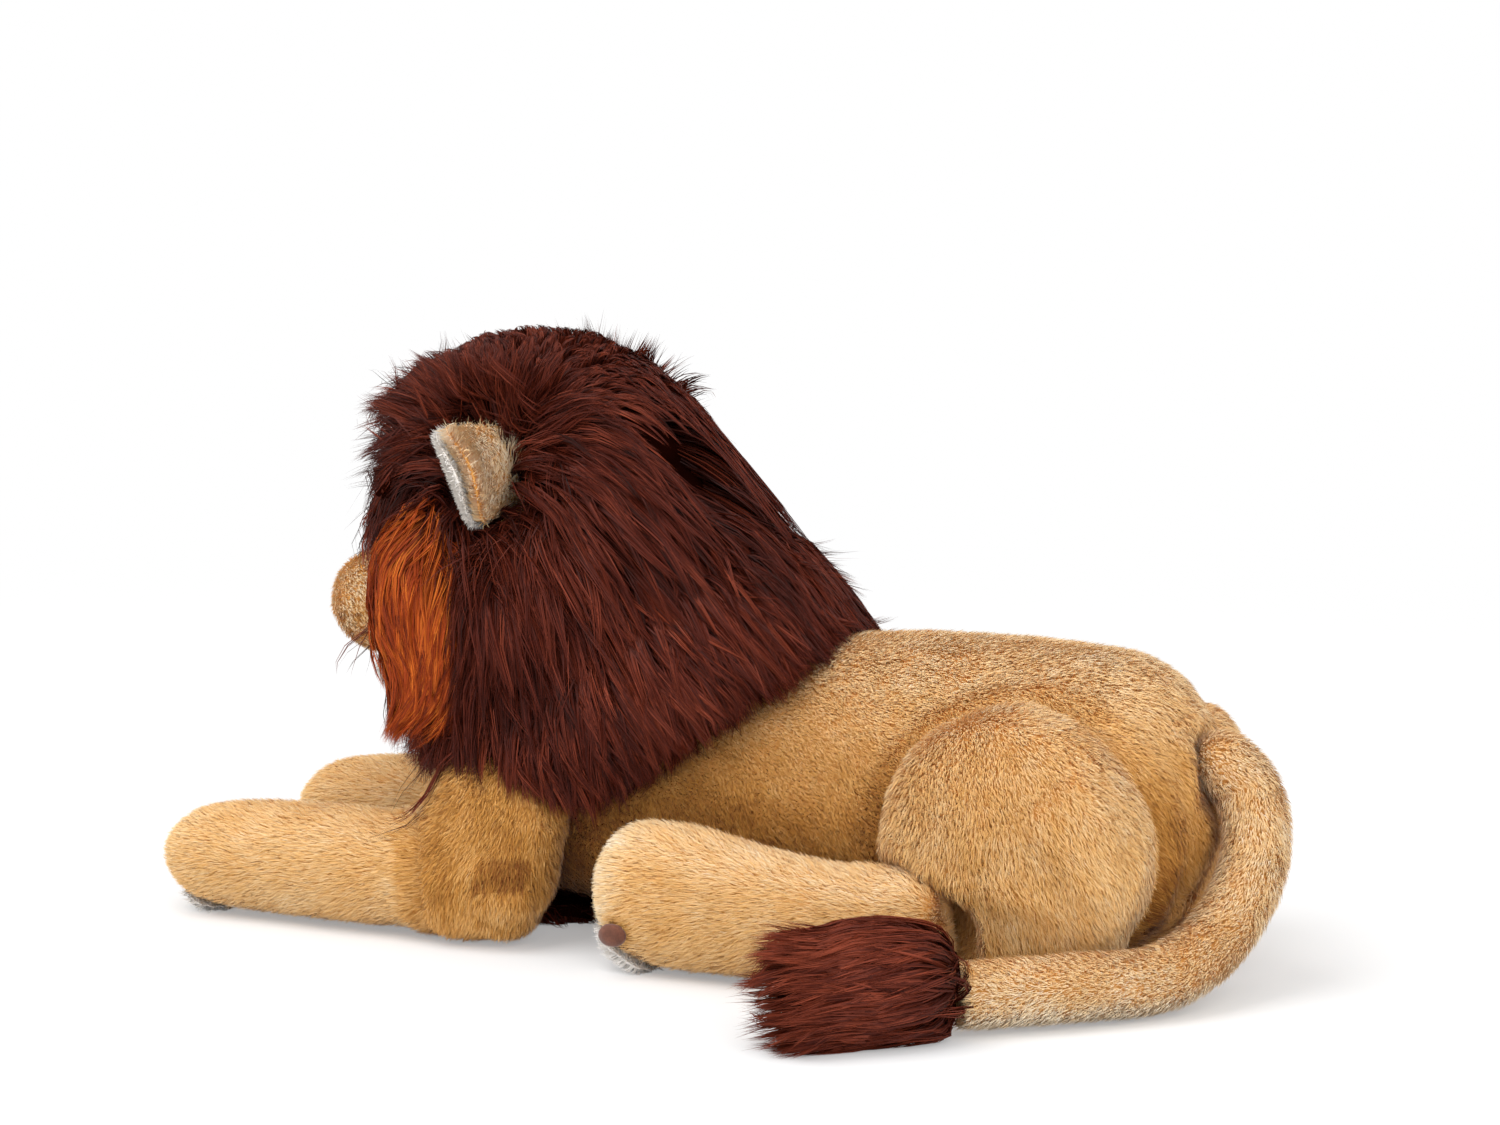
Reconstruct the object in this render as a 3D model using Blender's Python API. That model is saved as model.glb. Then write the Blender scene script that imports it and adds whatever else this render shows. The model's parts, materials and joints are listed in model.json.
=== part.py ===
# Lying plush lion, sewn from pile fabric and stuffed, with its head forward along -X.
# Lengths are in metres. +Z is up, and the lion's left side is at -Y.

import math

import bmesh
import bpy
import numpy as np
from mathutils import Matrix, Vector

# Fit between neighbours
GAP = 0.0003
SWEEP_GAP = 0.0008
FABRIC = 0.006
THIN_FABRIC = 0.0045
POKE = 0.03
CUT_TOLERANCE = 1e-7

# Meshing
RING_SEGMENTS = 16
SMALL_SEGMENTS = 12
INNER_SEGMENTS = 10
TAIL_INNER_SEGMENTS = 8
BODY_SEGMENTS = 20
HEAD_ROOM_SEGMENTS = 28
END_RINGS = 3
INNER_END_RINGS = 2
SMOOTH_ANGLE = math.radians(40)
NEARLY = 0.999
PATH_SAMPLES = 80
FLATTEN_ANGLE = math.radians(5)

# Body
BODY_LENGTH = 0.317
BODY_WIDTH = 0.110
BODY_HEIGHT = 0.130
CHEST_X = -0.118
CHEST_CAP = 0.030
RUMP_CAP = 0.040
# Along, rise of the middle, width and height, as shares of the body's sizes
BODY_SHARES = (
    (0.000, 0.385, 0.70, 0.65),
    (0.073, 0.408, 0.80, 0.72),
    (0.183, 0.400, 0.87, 0.71),
    (0.278, 0.385, 0.91, 0.72),
    (0.341, 0.423, 0.93, 0.83),
    (0.435, 0.473, 0.95, 0.96),
    (0.530, 0.488, 0.96, 1.015),
    (0.688, 0.492, 0.98, 1.04),
    (0.845, 0.488, 1.00, 1.02),
    (1.000, 0.469, 0.95, 0.95),
)

# Head, and the seam on which it turns
HEAD_AXIS_X = -0.095
HEAD_TURN = math.radians(12)
NECK_HEIGHT = 0.092
HEAD_FORWARD = 0.064
HEAD_FRONT_X = HEAD_AXIS_X - HEAD_FORWARD
NECK_BORE_RADIUS = 0.013
HEAD_LENGTH = 0.108
HEAD_WIDTH = 0.104
HEAD_HEIGHT = 0.118
HEAD_MIDDLE = 0.145
FACE_CAP = 0.040
SKULL_CAP = 0.036
# Along, rise from the head's middle, width and height
HEAD_SHARES = (
    (0.00, 0.04, 0.81, 0.79),
    (0.24, 0.02, 0.92, 0.91),
    (0.50, 0.00, 1.00, 1.00),
    (0.80, 0.01, 0.96, 0.96),
    (1.00, 0.03, 0.88, 0.86),
)

# Mane
MANE_MIDDLE = 0.150
MANE_LENGTH = 0.172
MANE_WIDTH = 0.160
MANE_HEIGHT = 0.178
FACE_OPENING_WIDTH = 0.084
FACE_OPENING_HEIGHT = 0.090
FACE_OPENING_MIDDLE = 0.137
FACE_OPENING_DEPTH = 0.038
FACE_OPENING_BACK_X = HEAD_FRONT_X + FACE_OPENING_DEPTH
# Along, rise, width and height of the opening in the mane, back to front
FACE_OPENING_SHARES = (
    (0.0, 0.0, 1.15, 1.05),
    (1.0, 0.0, 9.00, 4.00),
)
RUFF_FRONT_X = -0.134
RUFF_LENGTH = 0.174
RUFF_WIDTH = 0.164
RUFF_HEIGHT = 0.136
RUFF_CAP = 0.024
RUFF_TIP_CAP = 0.010
# Along, rise of the middle, width and height
RUFF_SHARES = (
    (0.000, 0.60, 0.73, 0.44),
    (0.138, 0.66, 0.88, 0.65),
    (0.310, 0.72, 0.98, 0.86),
    (0.511, 0.76, 0.98, 1.00),
    (0.684, 0.79, 0.88, 0.97),
    (0.828, 0.765, 0.76, 0.74),
    (1.000, 0.735, 0.54, 0.46),
)
RUFF_HEM = 0.061
RUFF_HEM_BEND_X = -0.045
RUFF_HEM_SLOPE = math.radians(36)
RUFF_SHOULDER_X = -0.085
CHEST_PAD_WIDTH = 0.058
CHEST_PAD_DEPTH = 0.020
CHEST_PAD_LENGTH = 0.070
CHEST_PAD_RISE = 0.058
CHEST_PAD_BACK_X = -0.060
CHEST_PAD_CAP = 0.010
# Along, rise, width and depth, from under the throat to the floor
CHEST_PAD_SHARES = (
    (-0.88, 0.94, 0.86, 0.90),
    (-1.03, 0.62, 1.00, 1.00),
    (-0.93, 0.28, 1.00, 1.00),
    (-0.60, 0.12, 1.00, 0.95),
    (0.00, 0.11, 0.90, 0.75),
)

# Cheek hair
CHEEK_FORWARD = 0.017
CHEEK_SIDE = 0.062
CHEEK_HEIGHT = 0.184
CHEEK_TOP = (HEAD_AXIS_X - CHEEK_FORWARD, CHEEK_SIDE, CHEEK_HEIGHT)
CHEEK_LENGTH = 0.118
CHEEK_WIDTH = 0.050
CHEEK_DEPTH = 0.030
CHEEK_CAP = 0.012
# Forward, outward, down, width and depth
CHEEK_SHARES = (
    (0.00, 0.00, 0.00, 0.70, 0.85),
    (0.00, 0.04, 0.30, 0.95, 1.00),
    (0.02, 0.03, 0.62, 0.90, 1.00),
    (0.08, -0.04, 1.00, 0.50, 0.70),
)

# Ears
EAR_BACK = 0.0065
EAR_SIDE = 0.038
EAR_RISE = 0.191
EAR_ROOT = (HEAD_AXIS_X + EAR_BACK, EAR_SIDE, EAR_RISE)
EAR_REACH = 0.047
EAR_HEIGHT = 0.046
EAR_THICKNESS = 0.012
EAR_LEAN = math.radians(24)
EAR_FOLD = math.radians(18)
EAR_CUP = 0.0075
EAR_ROOT_CAP = 0.003
EAR_CAP = 0.016
EAR_SEAM_SHARE = 0.04
EAR_FACE_SHARE = 0.5
EAR_FOLD_SHARES = (-1.0, -0.5, 0.0, 0.5, 1.0)
# Outward, depth of the cup and height
EAR_SHARES = (
    (0.0, 0.00, 0.72),
    (0.2, 0.64, 0.855),
    (0.4, 0.96, 0.955),
    (0.6, 0.96, 1.00),
    (0.8, 0.64, 1.00),
    (1.0, 0.00, 1.00),
)

# Face
MUZZLE_FORWARD = 0.001
MUZZLE_X = HEAD_FRONT_X - MUZZLE_FORWARD
MUZZLE_Z = 0.127
MUZZLE_PAD_OFFSET = 0.014
MUZZLE_LENGTH = 0.050
MUZZLE_PAD_WIDTH = 0.042
MUZZLE_HEIGHT = 0.046
CHIN_BACK = 0.006
CHIN_X = HEAD_FRONT_X + CHIN_BACK
CHIN_Z = 0.099
CHIN_LENGTH = 0.036
CHIN_WIDTH = 0.040
CHIN_HEIGHT = 0.028
GUSSET_FORWARD = 0.014
GUSSET_X = HEAD_FRONT_X - GUSSET_FORWARD
GUSSET_Z = 0.137
GUSSET_WIDTH = 0.026
GUSSET_DEPTH = 0.020
GUSSET_REACH = 0.038
GUSSET_RISE = 0.030
GUSSET_CAP = 0.008
# Back from the nose, rise, width and depth
GUSSET_SHARES = (
    (0.00, 0.00, 0.90, 0.90),
    (0.35, 0.22, 1.00, 1.00),
    (0.75, 0.52, 1.10, 0.95),
    (1.00, 0.95, 1.15, 0.70),
)
NOSE_FORWARD = 0.0200
NOSE_X = HEAD_FRONT_X - NOSE_FORWARD
NOSE_Z = 0.135
NOSE_DEPTH = 0.012
NOSE_WIDTH = 0.021
NOSE_HEIGHT = 0.014
EYE_RADIUS = 0.0065
EYE_DOME_HEIGHT = 0.0045
EYE_SHANK_RADIUS = 0.0016
EYE_SHANK_LENGTH = 0.014
EYE_REACH = 0.0470
EYE_TURN = math.radians(27)
EYE_RISE = math.radians(17)
EYE_MIDDLE_SHARE = 0.5
WASHER_RADIUS = 0.0065
WASHER_THICKNESS = 0.0014
WASHER_DEPTH = 0.0082

# Forelegs
SHOULDER_X = -0.076
SHOULDER_SIDE_SHARE = 0.4
SHOULDER_HEIGHT = 0.090
SHOULDER = (SHOULDER_X, BODY_WIDTH * SHOULDER_SIDE_SHARE, SHOULDER_HEIGHT)
UPPER_ARM_DROP = 0.0915
UPPER_ARM_LENGTH = 0.074
UPPER_ARM_WIDTH = 0.055
UPPER_ARM_TOP_CAP = 0.012
ELBOW_CAP = 0.026
# Forward, outward and down, as shares of the drop, then length along X and width
UPPER_ARM_SHARES = (
    (0.00, 0.00, 0.00, 0.70, 0.60),
    (0.04, 0.08, 0.22, 0.86, 0.84),
    (0.15, 0.15, 0.50, 0.98, 0.95),
    (0.20, 0.17, 0.75, 1.00, 1.00),
    (0.21, 0.17, 1.00, 0.96, 0.96),
)
ELBOW_X = -0.104
FORELEG_SIDE_SHARE = 0.527
FORELEG_SIDE = BODY_WIDTH * FORELEG_SIDE_SHARE
FORELEG_LIFT = math.radians(12)
FORELEG_BACK_CAP = 0.023
FORELEG_LENGTH = 0.138
FORELEG_WIDTH = 0.048
FORELEG_HEIGHT = 0.053
PAW_CAP = 0.022
# Along, outward, rise of the middle, width and height
FORELEG_SHARES = (
    (-0.167, 0.00, 0.500, 0.84, 0.87),
    (0.000, 0.00, 0.500, 0.86, 0.90),
    (0.130, 0.00, 0.495, 0.96, 0.98),
    (0.330, 0.00, 0.490, 1.00, 1.00),
    (0.620, -0.05, 0.475, 0.98, 0.97),
    (0.800, -0.06, 0.455, 1.00, 0.90),
    (1.000, -0.04, 0.480, 0.90, 0.68),
)
PAW_SOLE_START = 0.036
PAW_SOLE_SLOPE = math.radians(18)

# Thighs
THIGH_X = 0.135
THIGH_Z = 0.058
THIGH_INNER_SHARE = 0.182
THIGH_INNER_Y = BODY_WIDTH * THIGH_INNER_SHARE
THIGH_DEPTH = 0.069
THIGH_LENGTH = 0.114
THIGH_HEIGHT = 0.112
THIGH_CAP = 0.028
THIGH_ROOT_CAP = 0.004
# Outward, along, rise, length and height
THIGH_SHARES = (
    (0.0, 0.0, 0.0, 0.96, 0.96),
    (0.6, 0.0, 0.0, 1.00, 1.00),
    (1.0, 0.0, 0.0, 0.97, 0.97),
)

# Hind feet
KNEE_X = 0.104
FOOT_SIDE_SHARE = 0.7
FOOT_SIDE = BODY_WIDTH * FOOT_SIDE_SHARE
FOOT_LIFT = math.radians(10)
FOOT_SWEEP_GAP = 0.0014
FOOT_LENGTH = 0.137
FOOT_WIDTH = 0.046
FOOT_HEIGHT = 0.064
KNEE_RISE_SHARE = 0.406
KNEE_CAP = 0.0224
TOE_CAP = 0.022
# Along, outward, rise of the middle, width and height
FOOT_SHARES = (
    (-0.170, 0.00, 0.406, 0.80, 0.70),
    (0.000, 0.00, 0.406, 0.84, 0.72),
    (0.180, 0.02, 0.405, 0.96, 0.82),
    (0.480, 0.04, 0.440, 1.00, 0.90),
    (0.780, 0.04, 0.490, 1.02, 1.00),
    (1.000, 0.02, 0.490, 0.94, 0.92),
)
FOOT_SOLE_START = 0.030
FOOT_SOLE_SLOPE = math.radians(34)
TOE_PATCH_LENGTH = 0.013
TOE_PATCH_HEIGHT = 0.010
TOE_PATCH_DEPTH = 0.006
TOE_PATCH_RISE = 0.0175
TOE_PATCH_INSET = 0.0180
TOE_PATCH_OUT_SHARE = 0.425
TOE_PATCH_OUT = FOOT_WIDTH * TOE_PATCH_OUT_SHARE

# Tail
TAIL_ROOT_X = 0.198
TAIL_ROOT_Z = 0.086
TAIL_DIAMETER = 0.030
TAIL_REACH = 0.020
TAIL_SPREAD = 0.136
TAIL_SWING = math.radians(45)
TAIL_ROOT_ROWS = 4
TAIL_END_CAP = 0.0015
# Back, sideways and height as shares of reach, spread and root height, then diameter
TAIL_SHARES = (
    (-0.65, 0.000, 1.080, 1.00),
    (0.02, 0.000, 1.000, 1.00),
    (0.64, -0.020, 0.880, 1.00),
    (0.93, -0.080, 0.620, 1.00),
    (0.68, -0.215, 0.345, 0.99),
    (0.08, -0.455, 0.176, 0.98),
    (-1.20, -0.680, 0.172, 0.97),
    (-2.50, -0.860, 0.172, 0.96),
    (-3.00, -0.930, 0.174, 0.95),
)
TUFT_LENGTH = 0.082
TUFT_OVERLAP = 0.009
TUFT_DIAMETER = 0.047
TUFT_ROOT_CAP = 0.012
TUFT_TIP_CAP = 0.036
# Along, rise of the middle, diameter
TUFT_SHARES = (
    (0.00, 0.36, 0.78),
    (0.25, 0.45, 0.94),
    (0.55, 0.48, 1.00),
    (0.80, 0.44, 0.90),
    (1.00, 0.36, 0.70),
)

# A lower limb's fabric, and how its sole is called
LIMB_LOOKS = {
    "foreleg": ("golden_pile", "paw_sole_"),
    "hind_foot": ("light_pile", "hind_foot_sole_"),
}
LIFT_SHARES = (0.0, 0.5, 1.0)
SWING_SHARES = (0.0, 0.25, 0.5, 0.75, 1.0)
SIDES = (("left", -1), ("right", 1))

# Colours as linear shares, with roughness
MATERIALS = {
    "golden_pile": ((0.58, 0.33, 0.12), 0.95),
    "light_pile": ((0.78, 0.58, 0.33), 0.95),
    "white_pile": ((0.86, 0.80, 0.72), 0.95),
    "mane_pile": ((0.085, 0.019, 0.010), 0.85),
    "rust_pile": ((0.38, 0.090, 0.018), 0.85),
    "suede": ((0.150, 0.052, 0.030), 0.90),
    "eye_plastic": ((0.200, 0.080, 0.015), 0.08),
    "washer_plastic": ((0.75, 0.75, 0.73), 0.45),
    "stuffing": ((0.90, 0.90, 0.90), 0.98),
}


def clear_scene():
    for item in list(bpy.context.scene.objects):
        bpy.data.objects.remove(item, do_unlink=True)


def make_materials():
    made = {}
    for name, (colour, roughness) in MATERIALS.items():
        material = bpy.data.materials.new(name)
        material.use_nodes = True
        shader = material.node_tree.nodes["Principled BSDF"]
        shader.inputs["Base Color"].default_value = (*colour, 1.0)
        shader.inputs["Roughness"].default_value = roughness
        shader.inputs["Metallic"].default_value = 0.0
        made[name] = material
    return made


def new_object(name, mesh_data, material=None, helper=False):
    mesh = bpy.data.meshes.new(name)
    bmesh.ops.recalc_face_normals(mesh_data, faces=mesh_data.faces[:])
    if mesh_data.calc_volume(signed=True) < 0:
        bmesh.ops.reverse_faces(mesh_data, faces=mesh_data.faces[:])
    mesh_data.to_mesh(mesh)
    mesh_data.free()
    mesh.shade_smooth()
    mesh.set_sharp_from_angle(angle=SMOOTH_ANGLE)
    made = bpy.data.objects.new(name, mesh)
    bpy.context.scene.collection.objects.link(made)
    if material is not None:
        mesh.materials.append(material)
    if helper:
        made.hide_render = True
        made.display_type = "WIRE"
    return made


def smooth_rows(rows, places):
    """Rows between the given ones, on a curve that passes through each."""
    rows = np.asarray(rows, float)
    spans = np.linalg.norm(np.diff(rows[:, :3], axis=0), axis=1)
    marks = np.concatenate([[0.0], np.cumsum(spans)])
    slopes = np.gradient(rows, marks, axis=0)
    index = np.clip(np.searchsorted(marks, places, side="right") - 1, 0, len(marks) - 2)
    width = (marks[index + 1] - marks[index])[:, None]
    part = ((places - marks[index]) / width[:, 0])[:, None]
    first = (1 + 2 * part) * (1 - part) ** 2
    second = part * (1 - part) ** 2 * width
    third = part**2 * (3 - 2 * part)
    fourth = part**2 * (part - 1) * width
    return (
        first * rows[index] + second * slopes[index]
        + third * rows[index + 1] + fourth * slopes[index + 1]
    )


def path_length(rows):
    rows = np.asarray(rows, float)
    return float(np.linalg.norm(np.diff(rows[:, :3], axis=0), axis=1).sum())


def ring_frames(points, side):
    """Side and up directions square to the path, carried along it without twist."""
    tangents = np.gradient(points, axis=0)
    tangents /= np.linalg.norm(tangents, axis=1)[:, None]
    sides = []
    for tangent in tangents:
        side = side - tangent * (side @ tangent)
        side = side / np.linalg.norm(side)
        sides.append(side)
    sides = np.array(sides)
    return sides, np.cross(tangents, sides)


def form_mesh(rows, side, caps, inset=0.0, segments=RING_SEGMENTS, rings=7, cap_rings=END_RINGS,
              floor=None, open_start=0.0, open_end=0.0):
    """A stuffed form: elliptical rings along a path, its ends rounded over the two cap lengths.
    Rows hold the middle (x, y, z), half the width and half the height."""
    rows = np.asarray(rows, float)
    total = path_length(rows)
    start, end = caps
    low = np.arange(1, cap_rings + 1) / cap_rings
    head = start * (1 - np.cos(low * math.pi / 2))
    tail = total - end * (1 - np.cos(low[::-1] * math.pi / 2))
    middle = np.linspace(start, total - end, rings + 2)[1:-1]
    places = np.concatenate([[0.0], head, middle, tail, [total]])
    places = np.clip(places, 0.0, total)
    samples = smooth_rows(rows, places)
    points = samples[:, :3]
    marks = np.linspace(0, total, PATH_SAMPLES)
    dense = smooth_rows(rows, marks)[:, :3]
    dense_sides, _ = ring_frames(dense, np.asarray(side, float))
    sides = np.stack([np.interp(places, marks, dense_sides[:, i]) for i in range(3)], axis=1)
    slopes = np.gradient(dense, marks, axis=0)
    tangents = np.stack([np.interp(places, marks, slopes[:, i]) for i in range(3)], axis=1)
    tangents /= np.linalg.norm(tangents, axis=1)[:, None]
    sides -= tangents * (sides * tangents).sum(axis=1)[:, None]
    sides /= np.linalg.norm(sides, axis=1)[:, None]
    ups = np.cross(tangents, sides)
    shrink = np.ones(len(places))
    near = places < start
    shrink[near] = np.sqrt(np.clip(1 - (1 - places[near] / start) ** 2, 0, 1))
    near = total - places < end
    shrink[near] = np.sqrt(np.clip(1 - (1 - (total - places[near]) / end) ** 2, 0, 1))
    half_width = np.maximum(samples[:, 3] - inset, 0) * shrink
    half_height = np.maximum(samples[:, 4] - inset, 0) * shrink
    shift = np.zeros(len(places))
    shift += inset * np.clip(1 - places / total, 0, 1)
    shift -= inset * np.clip(places / total, 0, 1)
    points = points + tangents * shift[:, None]
    mesh = bmesh.new()
    angles = np.arange(segments) * 2 * math.pi / segments
    loops = []
    for i in range(1, len(places) - 1):
        loop = []
        for angle in angles:
            across = sides[i] * half_width[i] * math.cos(angle)
            loop.append(points[i] + across + ups[i] * half_height[i] * math.sin(angle))
        loops.append(loop)
    first_point, last_point = points[0], points[-1]
    if open_start > 0:
        full = sum(places[1:-1] < start * NEARLY)
        loops = loops[full:]
        loops.insert(0, [corner - tangents[full + 1] * open_start for corner in loops[0]])
        first_point = np.mean(loops[0], axis=0)
    if open_end > 0:
        full = sum(total - places[1:-1] < end * NEARLY)
        loops = loops[: len(loops) - full] if full else loops
        loops.append([corner + tangents[-2 - full] * open_end for corner in loops[-1]])
        last_point = np.mean(loops[-1], axis=0)
    if floor is not None:
        loops = [[np.array([c[0], c[1], max(c[2], floor)]) for c in loop] for loop in loops]
        first_point = np.array([first_point[0], first_point[1], max(first_point[2], floor)])
        last_point = np.array([last_point[0], last_point[1], max(last_point[2], floor)])
    made = [[mesh.verts.new(corner) for corner in loop] for loop in loops]
    first, last = mesh.verts.new(first_point), mesh.verts.new(last_point)
    for i in range(segments):
        j = (i + 1) % segments
        mesh.faces.new((first, made[0][i], made[0][j]))
        mesh.faces.new((last, made[-1][j], made[-1][i]))
        for k in range(len(made) - 1):
            mesh.faces.new((made[k][i], made[k + 1][i], made[k + 1][j]))
            mesh.faces.new((made[k][i], made[k + 1][j], made[k][j]))
    return mesh


def shrunk(mesh, distance=GAP):
    """The closed mesh drawn in by a distance."""
    bmesh.ops.recalc_face_normals(mesh, faces=mesh.faces[:])
    if mesh.calc_volume(signed=True) < 0:
        bmesh.ops.reverse_faces(mesh, faces=mesh.faces[:])
    mesh.normal_update()
    for vertex in mesh.verts:
        vertex.co -= vertex.normal * vertex.calc_shell_factor() * distance
    return mesh


def cut(target, *cutters):
    for cutter in cutters:
        modifier = target.modifiers.new("cut by " + cutter.name, "BOOLEAN")
        modifier.operation = "DIFFERENCE"
        modifier.solver = "EXACT"
        modifier.object = cutter


def box_helper(name, low, high):
    mesh = bmesh.new()
    size = Vector(high) - Vector(low)
    middle = (Vector(high) + Vector(low)) / 2
    matrix = Matrix.Translation(middle) @ Matrix.Diagonal((*size, 1.0))
    bmesh.ops.create_cube(mesh, size=1.0, matrix=matrix)
    return new_object(name, mesh, helper=True)


def ellipsoid_mesh(middle, sizes, segments=SMALL_SEGMENTS, turn=None):
    mesh = bmesh.new()
    turn = turn or Matrix.Identity(4)
    halves = [size / 2 for size in sizes]
    matrix = Matrix.Translation(middle) @ turn @ Matrix.Diagonal((*halves, 1.0))
    rings = segments // 2 + 1
    bmesh.ops.create_uvsphere(mesh, u_segments=segments, v_segments=rings, radius=1.0, matrix=matrix)
    return mesh


def cylinder_mesh(start, direction, radius, length, segments=SMALL_SEGMENTS):
    mesh = bmesh.new()
    direction = Vector(direction).normalized()
    turn = direction.to_track_quat("Z", "Y").to_matrix().to_4x4()
    matrix = Matrix.Translation(Vector(start) + direction * length / 2) @ turn
    bmesh.ops.create_cone(
        mesh, cap_ends=True, segments=segments, radius1=radius, radius2=radius, depth=length,
        matrix=matrix,
    )
    return mesh


def plane_cut(mesh, point, normal):
    """Takes away what lies on the normal's side of the plane, and closes the cut."""
    geometry = mesh.verts[:] + mesh.edges[:] + mesh.faces[:]
    found = bmesh.ops.bisect_plane(
        mesh, geom=geometry, dist=CUT_TOLERANCE, plane_co=point, plane_no=normal, clear_outer=True
    )
    edges = [item for item in found["geom_cut"] if isinstance(item, bmesh.types.BMEdge)]
    bmesh.ops.holes_fill(mesh, edges=edges, sides=0)
    return mesh


def turn_about(pivot, axis, angle):
    there = Matrix.Translation(Vector(pivot))
    return there @ Matrix.Rotation(angle, 4, Vector(axis)) @ there.inverted()


def swept_helper(name, meshes, pivot, axis, angles, gap=SWEEP_GAP):
    """A helper round all that the closed forms pass through as they turn about the axis."""
    hull = bmesh.new()
    for mesh in meshes:
        middle = sum((vertex.co for vertex in mesh.verts), Vector()) / len(mesh.verts)
        for angle in angles:
            turn = turn_about(pivot, axis, angle)
            for vertex in mesh.verts:
                away = (vertex.co - middle).normalized() * gap * 2
                hull.verts.new(turn @ (vertex.co + away))
        mesh.free()
    found = bmesh.ops.convex_hull(hull, input=hull.verts[:])
    idle = found["geom_interior"] + found["geom_unused"]
    idle = {item for item in idle if isinstance(item, bmesh.types.BMVert)}
    bmesh.ops.delete(hull, geom=list(idle), context="VERTS")
    bmesh.ops.dissolve_limit(
        hull, angle_limit=FLATTEN_ANGLE, verts=hull.verts[:], edges=hull.edges[:]
    )
    bmesh.ops.triangulate(hull, faces=hull.faces[:])
    return new_object(name, hull, helper=True)


def along_body(shares, front, length, width, height, middle=0.0, rise=None):
    """Rows of a form that runs back along X."""
    rise = height if rise is None else rise
    return [
        (front + length * x, 0.0, middle + rise * z, width * w / 2, height * h / 2)
        for x, z, w, h in shares
    ]


def inner_forms(rows, side, caps, fabric, segments=INNER_SEGMENTS, rings=3, end_rings=INNER_END_RINGS,
                open_start=0.0, open_end=0.0, on_floor=True):
    """The hollow of a sewn skin, which can open at its ends, and the stuffing that fills it."""
    floor = fabric if on_floor else None
    shape = (rows, side, caps, fabric, segments, rings, end_rings, floor)
    hollow = form_mesh(*shape, open_start, open_end)
    return hollow, shrunk(form_mesh(*shape))


def joint_empty(name, place, parent):
    made = bpy.data.objects.new(name, None)
    made.empty_display_size = FABRIC
    bpy.context.scene.collection.objects.link(made)
    made.parent = parent
    origin = Vector()
    above = parent
    while above is not None:
        origin += above.location
        above = above.parent
    made.location = Vector(place) - origin
    return made


def attach(parent, *pieces):
    """Hangs pieces on a joint's empty without moving them."""
    origin = Vector()
    above = parent
    while above is not None:
        origin += above.location
        above = above.parent
    for piece in pieces:
        piece.parent = parent
        piece.location = -origin


def mirrored(point, side):
    return Vector((point[0], abs(point[1]) * side, point[2]))


def head_space_mesh(gap):
    """Room for the head as it turns: the mane's round of revolution above the neck seam."""
    facet = math.cos(math.pi / HEAD_ROOM_SEGMENTS) ** 2
    across = (MANE_LENGTH + 2 * gap) / facet
    tall = (MANE_HEIGHT + 2 * gap) / facet
    mesh = ellipsoid_mesh((HEAD_AXIS_X, 0, MANE_MIDDLE), (across, across, tall), HEAD_ROOM_SEGMENTS)
    return plane_cut(mesh, (0, 0, NECK_HEIGHT), (0, 0, -1))


def body_rows():
    return along_body(BODY_SHARES, CHEST_X, BODY_LENGTH, BODY_WIDTH, BODY_HEIGHT)


def head_rows():
    return along_body(HEAD_SHARES, HEAD_FRONT_X, HEAD_LENGTH, HEAD_WIDTH, HEAD_HEIGHT, HEAD_MIDDLE)


def body_form(gap):
    return form_mesh(body_rows(), (0, 1, 0), (CHEST_CAP, RUMP_CAP), -gap, BODY_SEGMENTS, 10, 4,
                     floor=-POKE)


def head_form(gap):
    return form_mesh(head_rows(), (0, 1, 0), (FACE_CAP, SKULL_CAP), -gap, RING_SEGMENTS, 4, 4)


def upper_arm_rows(side):
    x, y, z = SHOULDER
    return [
        (x - UPPER_ARM_DROP * a, (y + UPPER_ARM_DROP * b) * side, z - UPPER_ARM_DROP * c,
         UPPER_ARM_LENGTH * d / 2, UPPER_ARM_WIDTH * e / 2)
        for a, b, c, d, e in UPPER_ARM_SHARES
    ]


def upper_arm_form(side, gap):
    caps = (UPPER_ARM_TOP_CAP, ELBOW_CAP)
    return form_mesh(upper_arm_rows(side), (1, 0, 0), caps, -gap, RING_SEGMENTS, 4, 3, -POKE)


def foreleg_rows(side):
    return [
        (ELBOW_X - FORELEG_LENGTH * a, (FORELEG_SIDE + FORELEG_WIDTH * b) * side, FORELEG_HEIGHT * c,
         FORELEG_WIDTH * d / 2, FORELEG_HEIGHT * e / 2)
        for a, b, c, d, e in FORELEG_SHARES
    ]


def thigh_rows(side):
    return [
        (THIGH_X + THIGH_LENGTH * b, (THIGH_INNER_Y + THIGH_DEPTH * a) * side,
         THIGH_Z + THIGH_HEIGHT * c, THIGH_LENGTH * d / 2, THIGH_HEIGHT * e / 2)
        for a, b, c, d, e in THIGH_SHARES
    ]


def foot_rows(side):
    return [
        (KNEE_X - FOOT_LENGTH * a, (FOOT_SIDE + FOOT_WIDTH * b) * side, FOOT_HEIGHT * c,
         FOOT_WIDTH * d / 2, FOOT_HEIGHT * e / 2)
        for a, b, c, d, e in FOOT_SHARES
    ]


def tail_rows():
    return [
        (TAIL_ROOT_X + TAIL_REACH * a, TAIL_SPREAD * b, TAIL_ROOT_Z * c,
         TAIL_DIAMETER * d / 2, TAIL_DIAMETER * d / 2)
        for a, b, c, d in TAIL_SHARES
    ]


def cheek_rows(side):
    x, y, z = CHEEK_TOP
    return [
        (x - CHEEK_LENGTH * a, (y + CHEEK_LENGTH * b) * side, z - CHEEK_LENGTH * c,
         CHEEK_WIDTH * d / 2, CHEEK_DEPTH * e / 2)
        for a, b, c, d, e in CHEEK_SHARES
    ]


def cheek_form(side, gap):
    return form_mesh(cheek_rows(side), (1, 0, 0), (CHEEK_CAP, CHEEK_CAP), -gap, SMALL_SEGMENTS, 4, 2)


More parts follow.
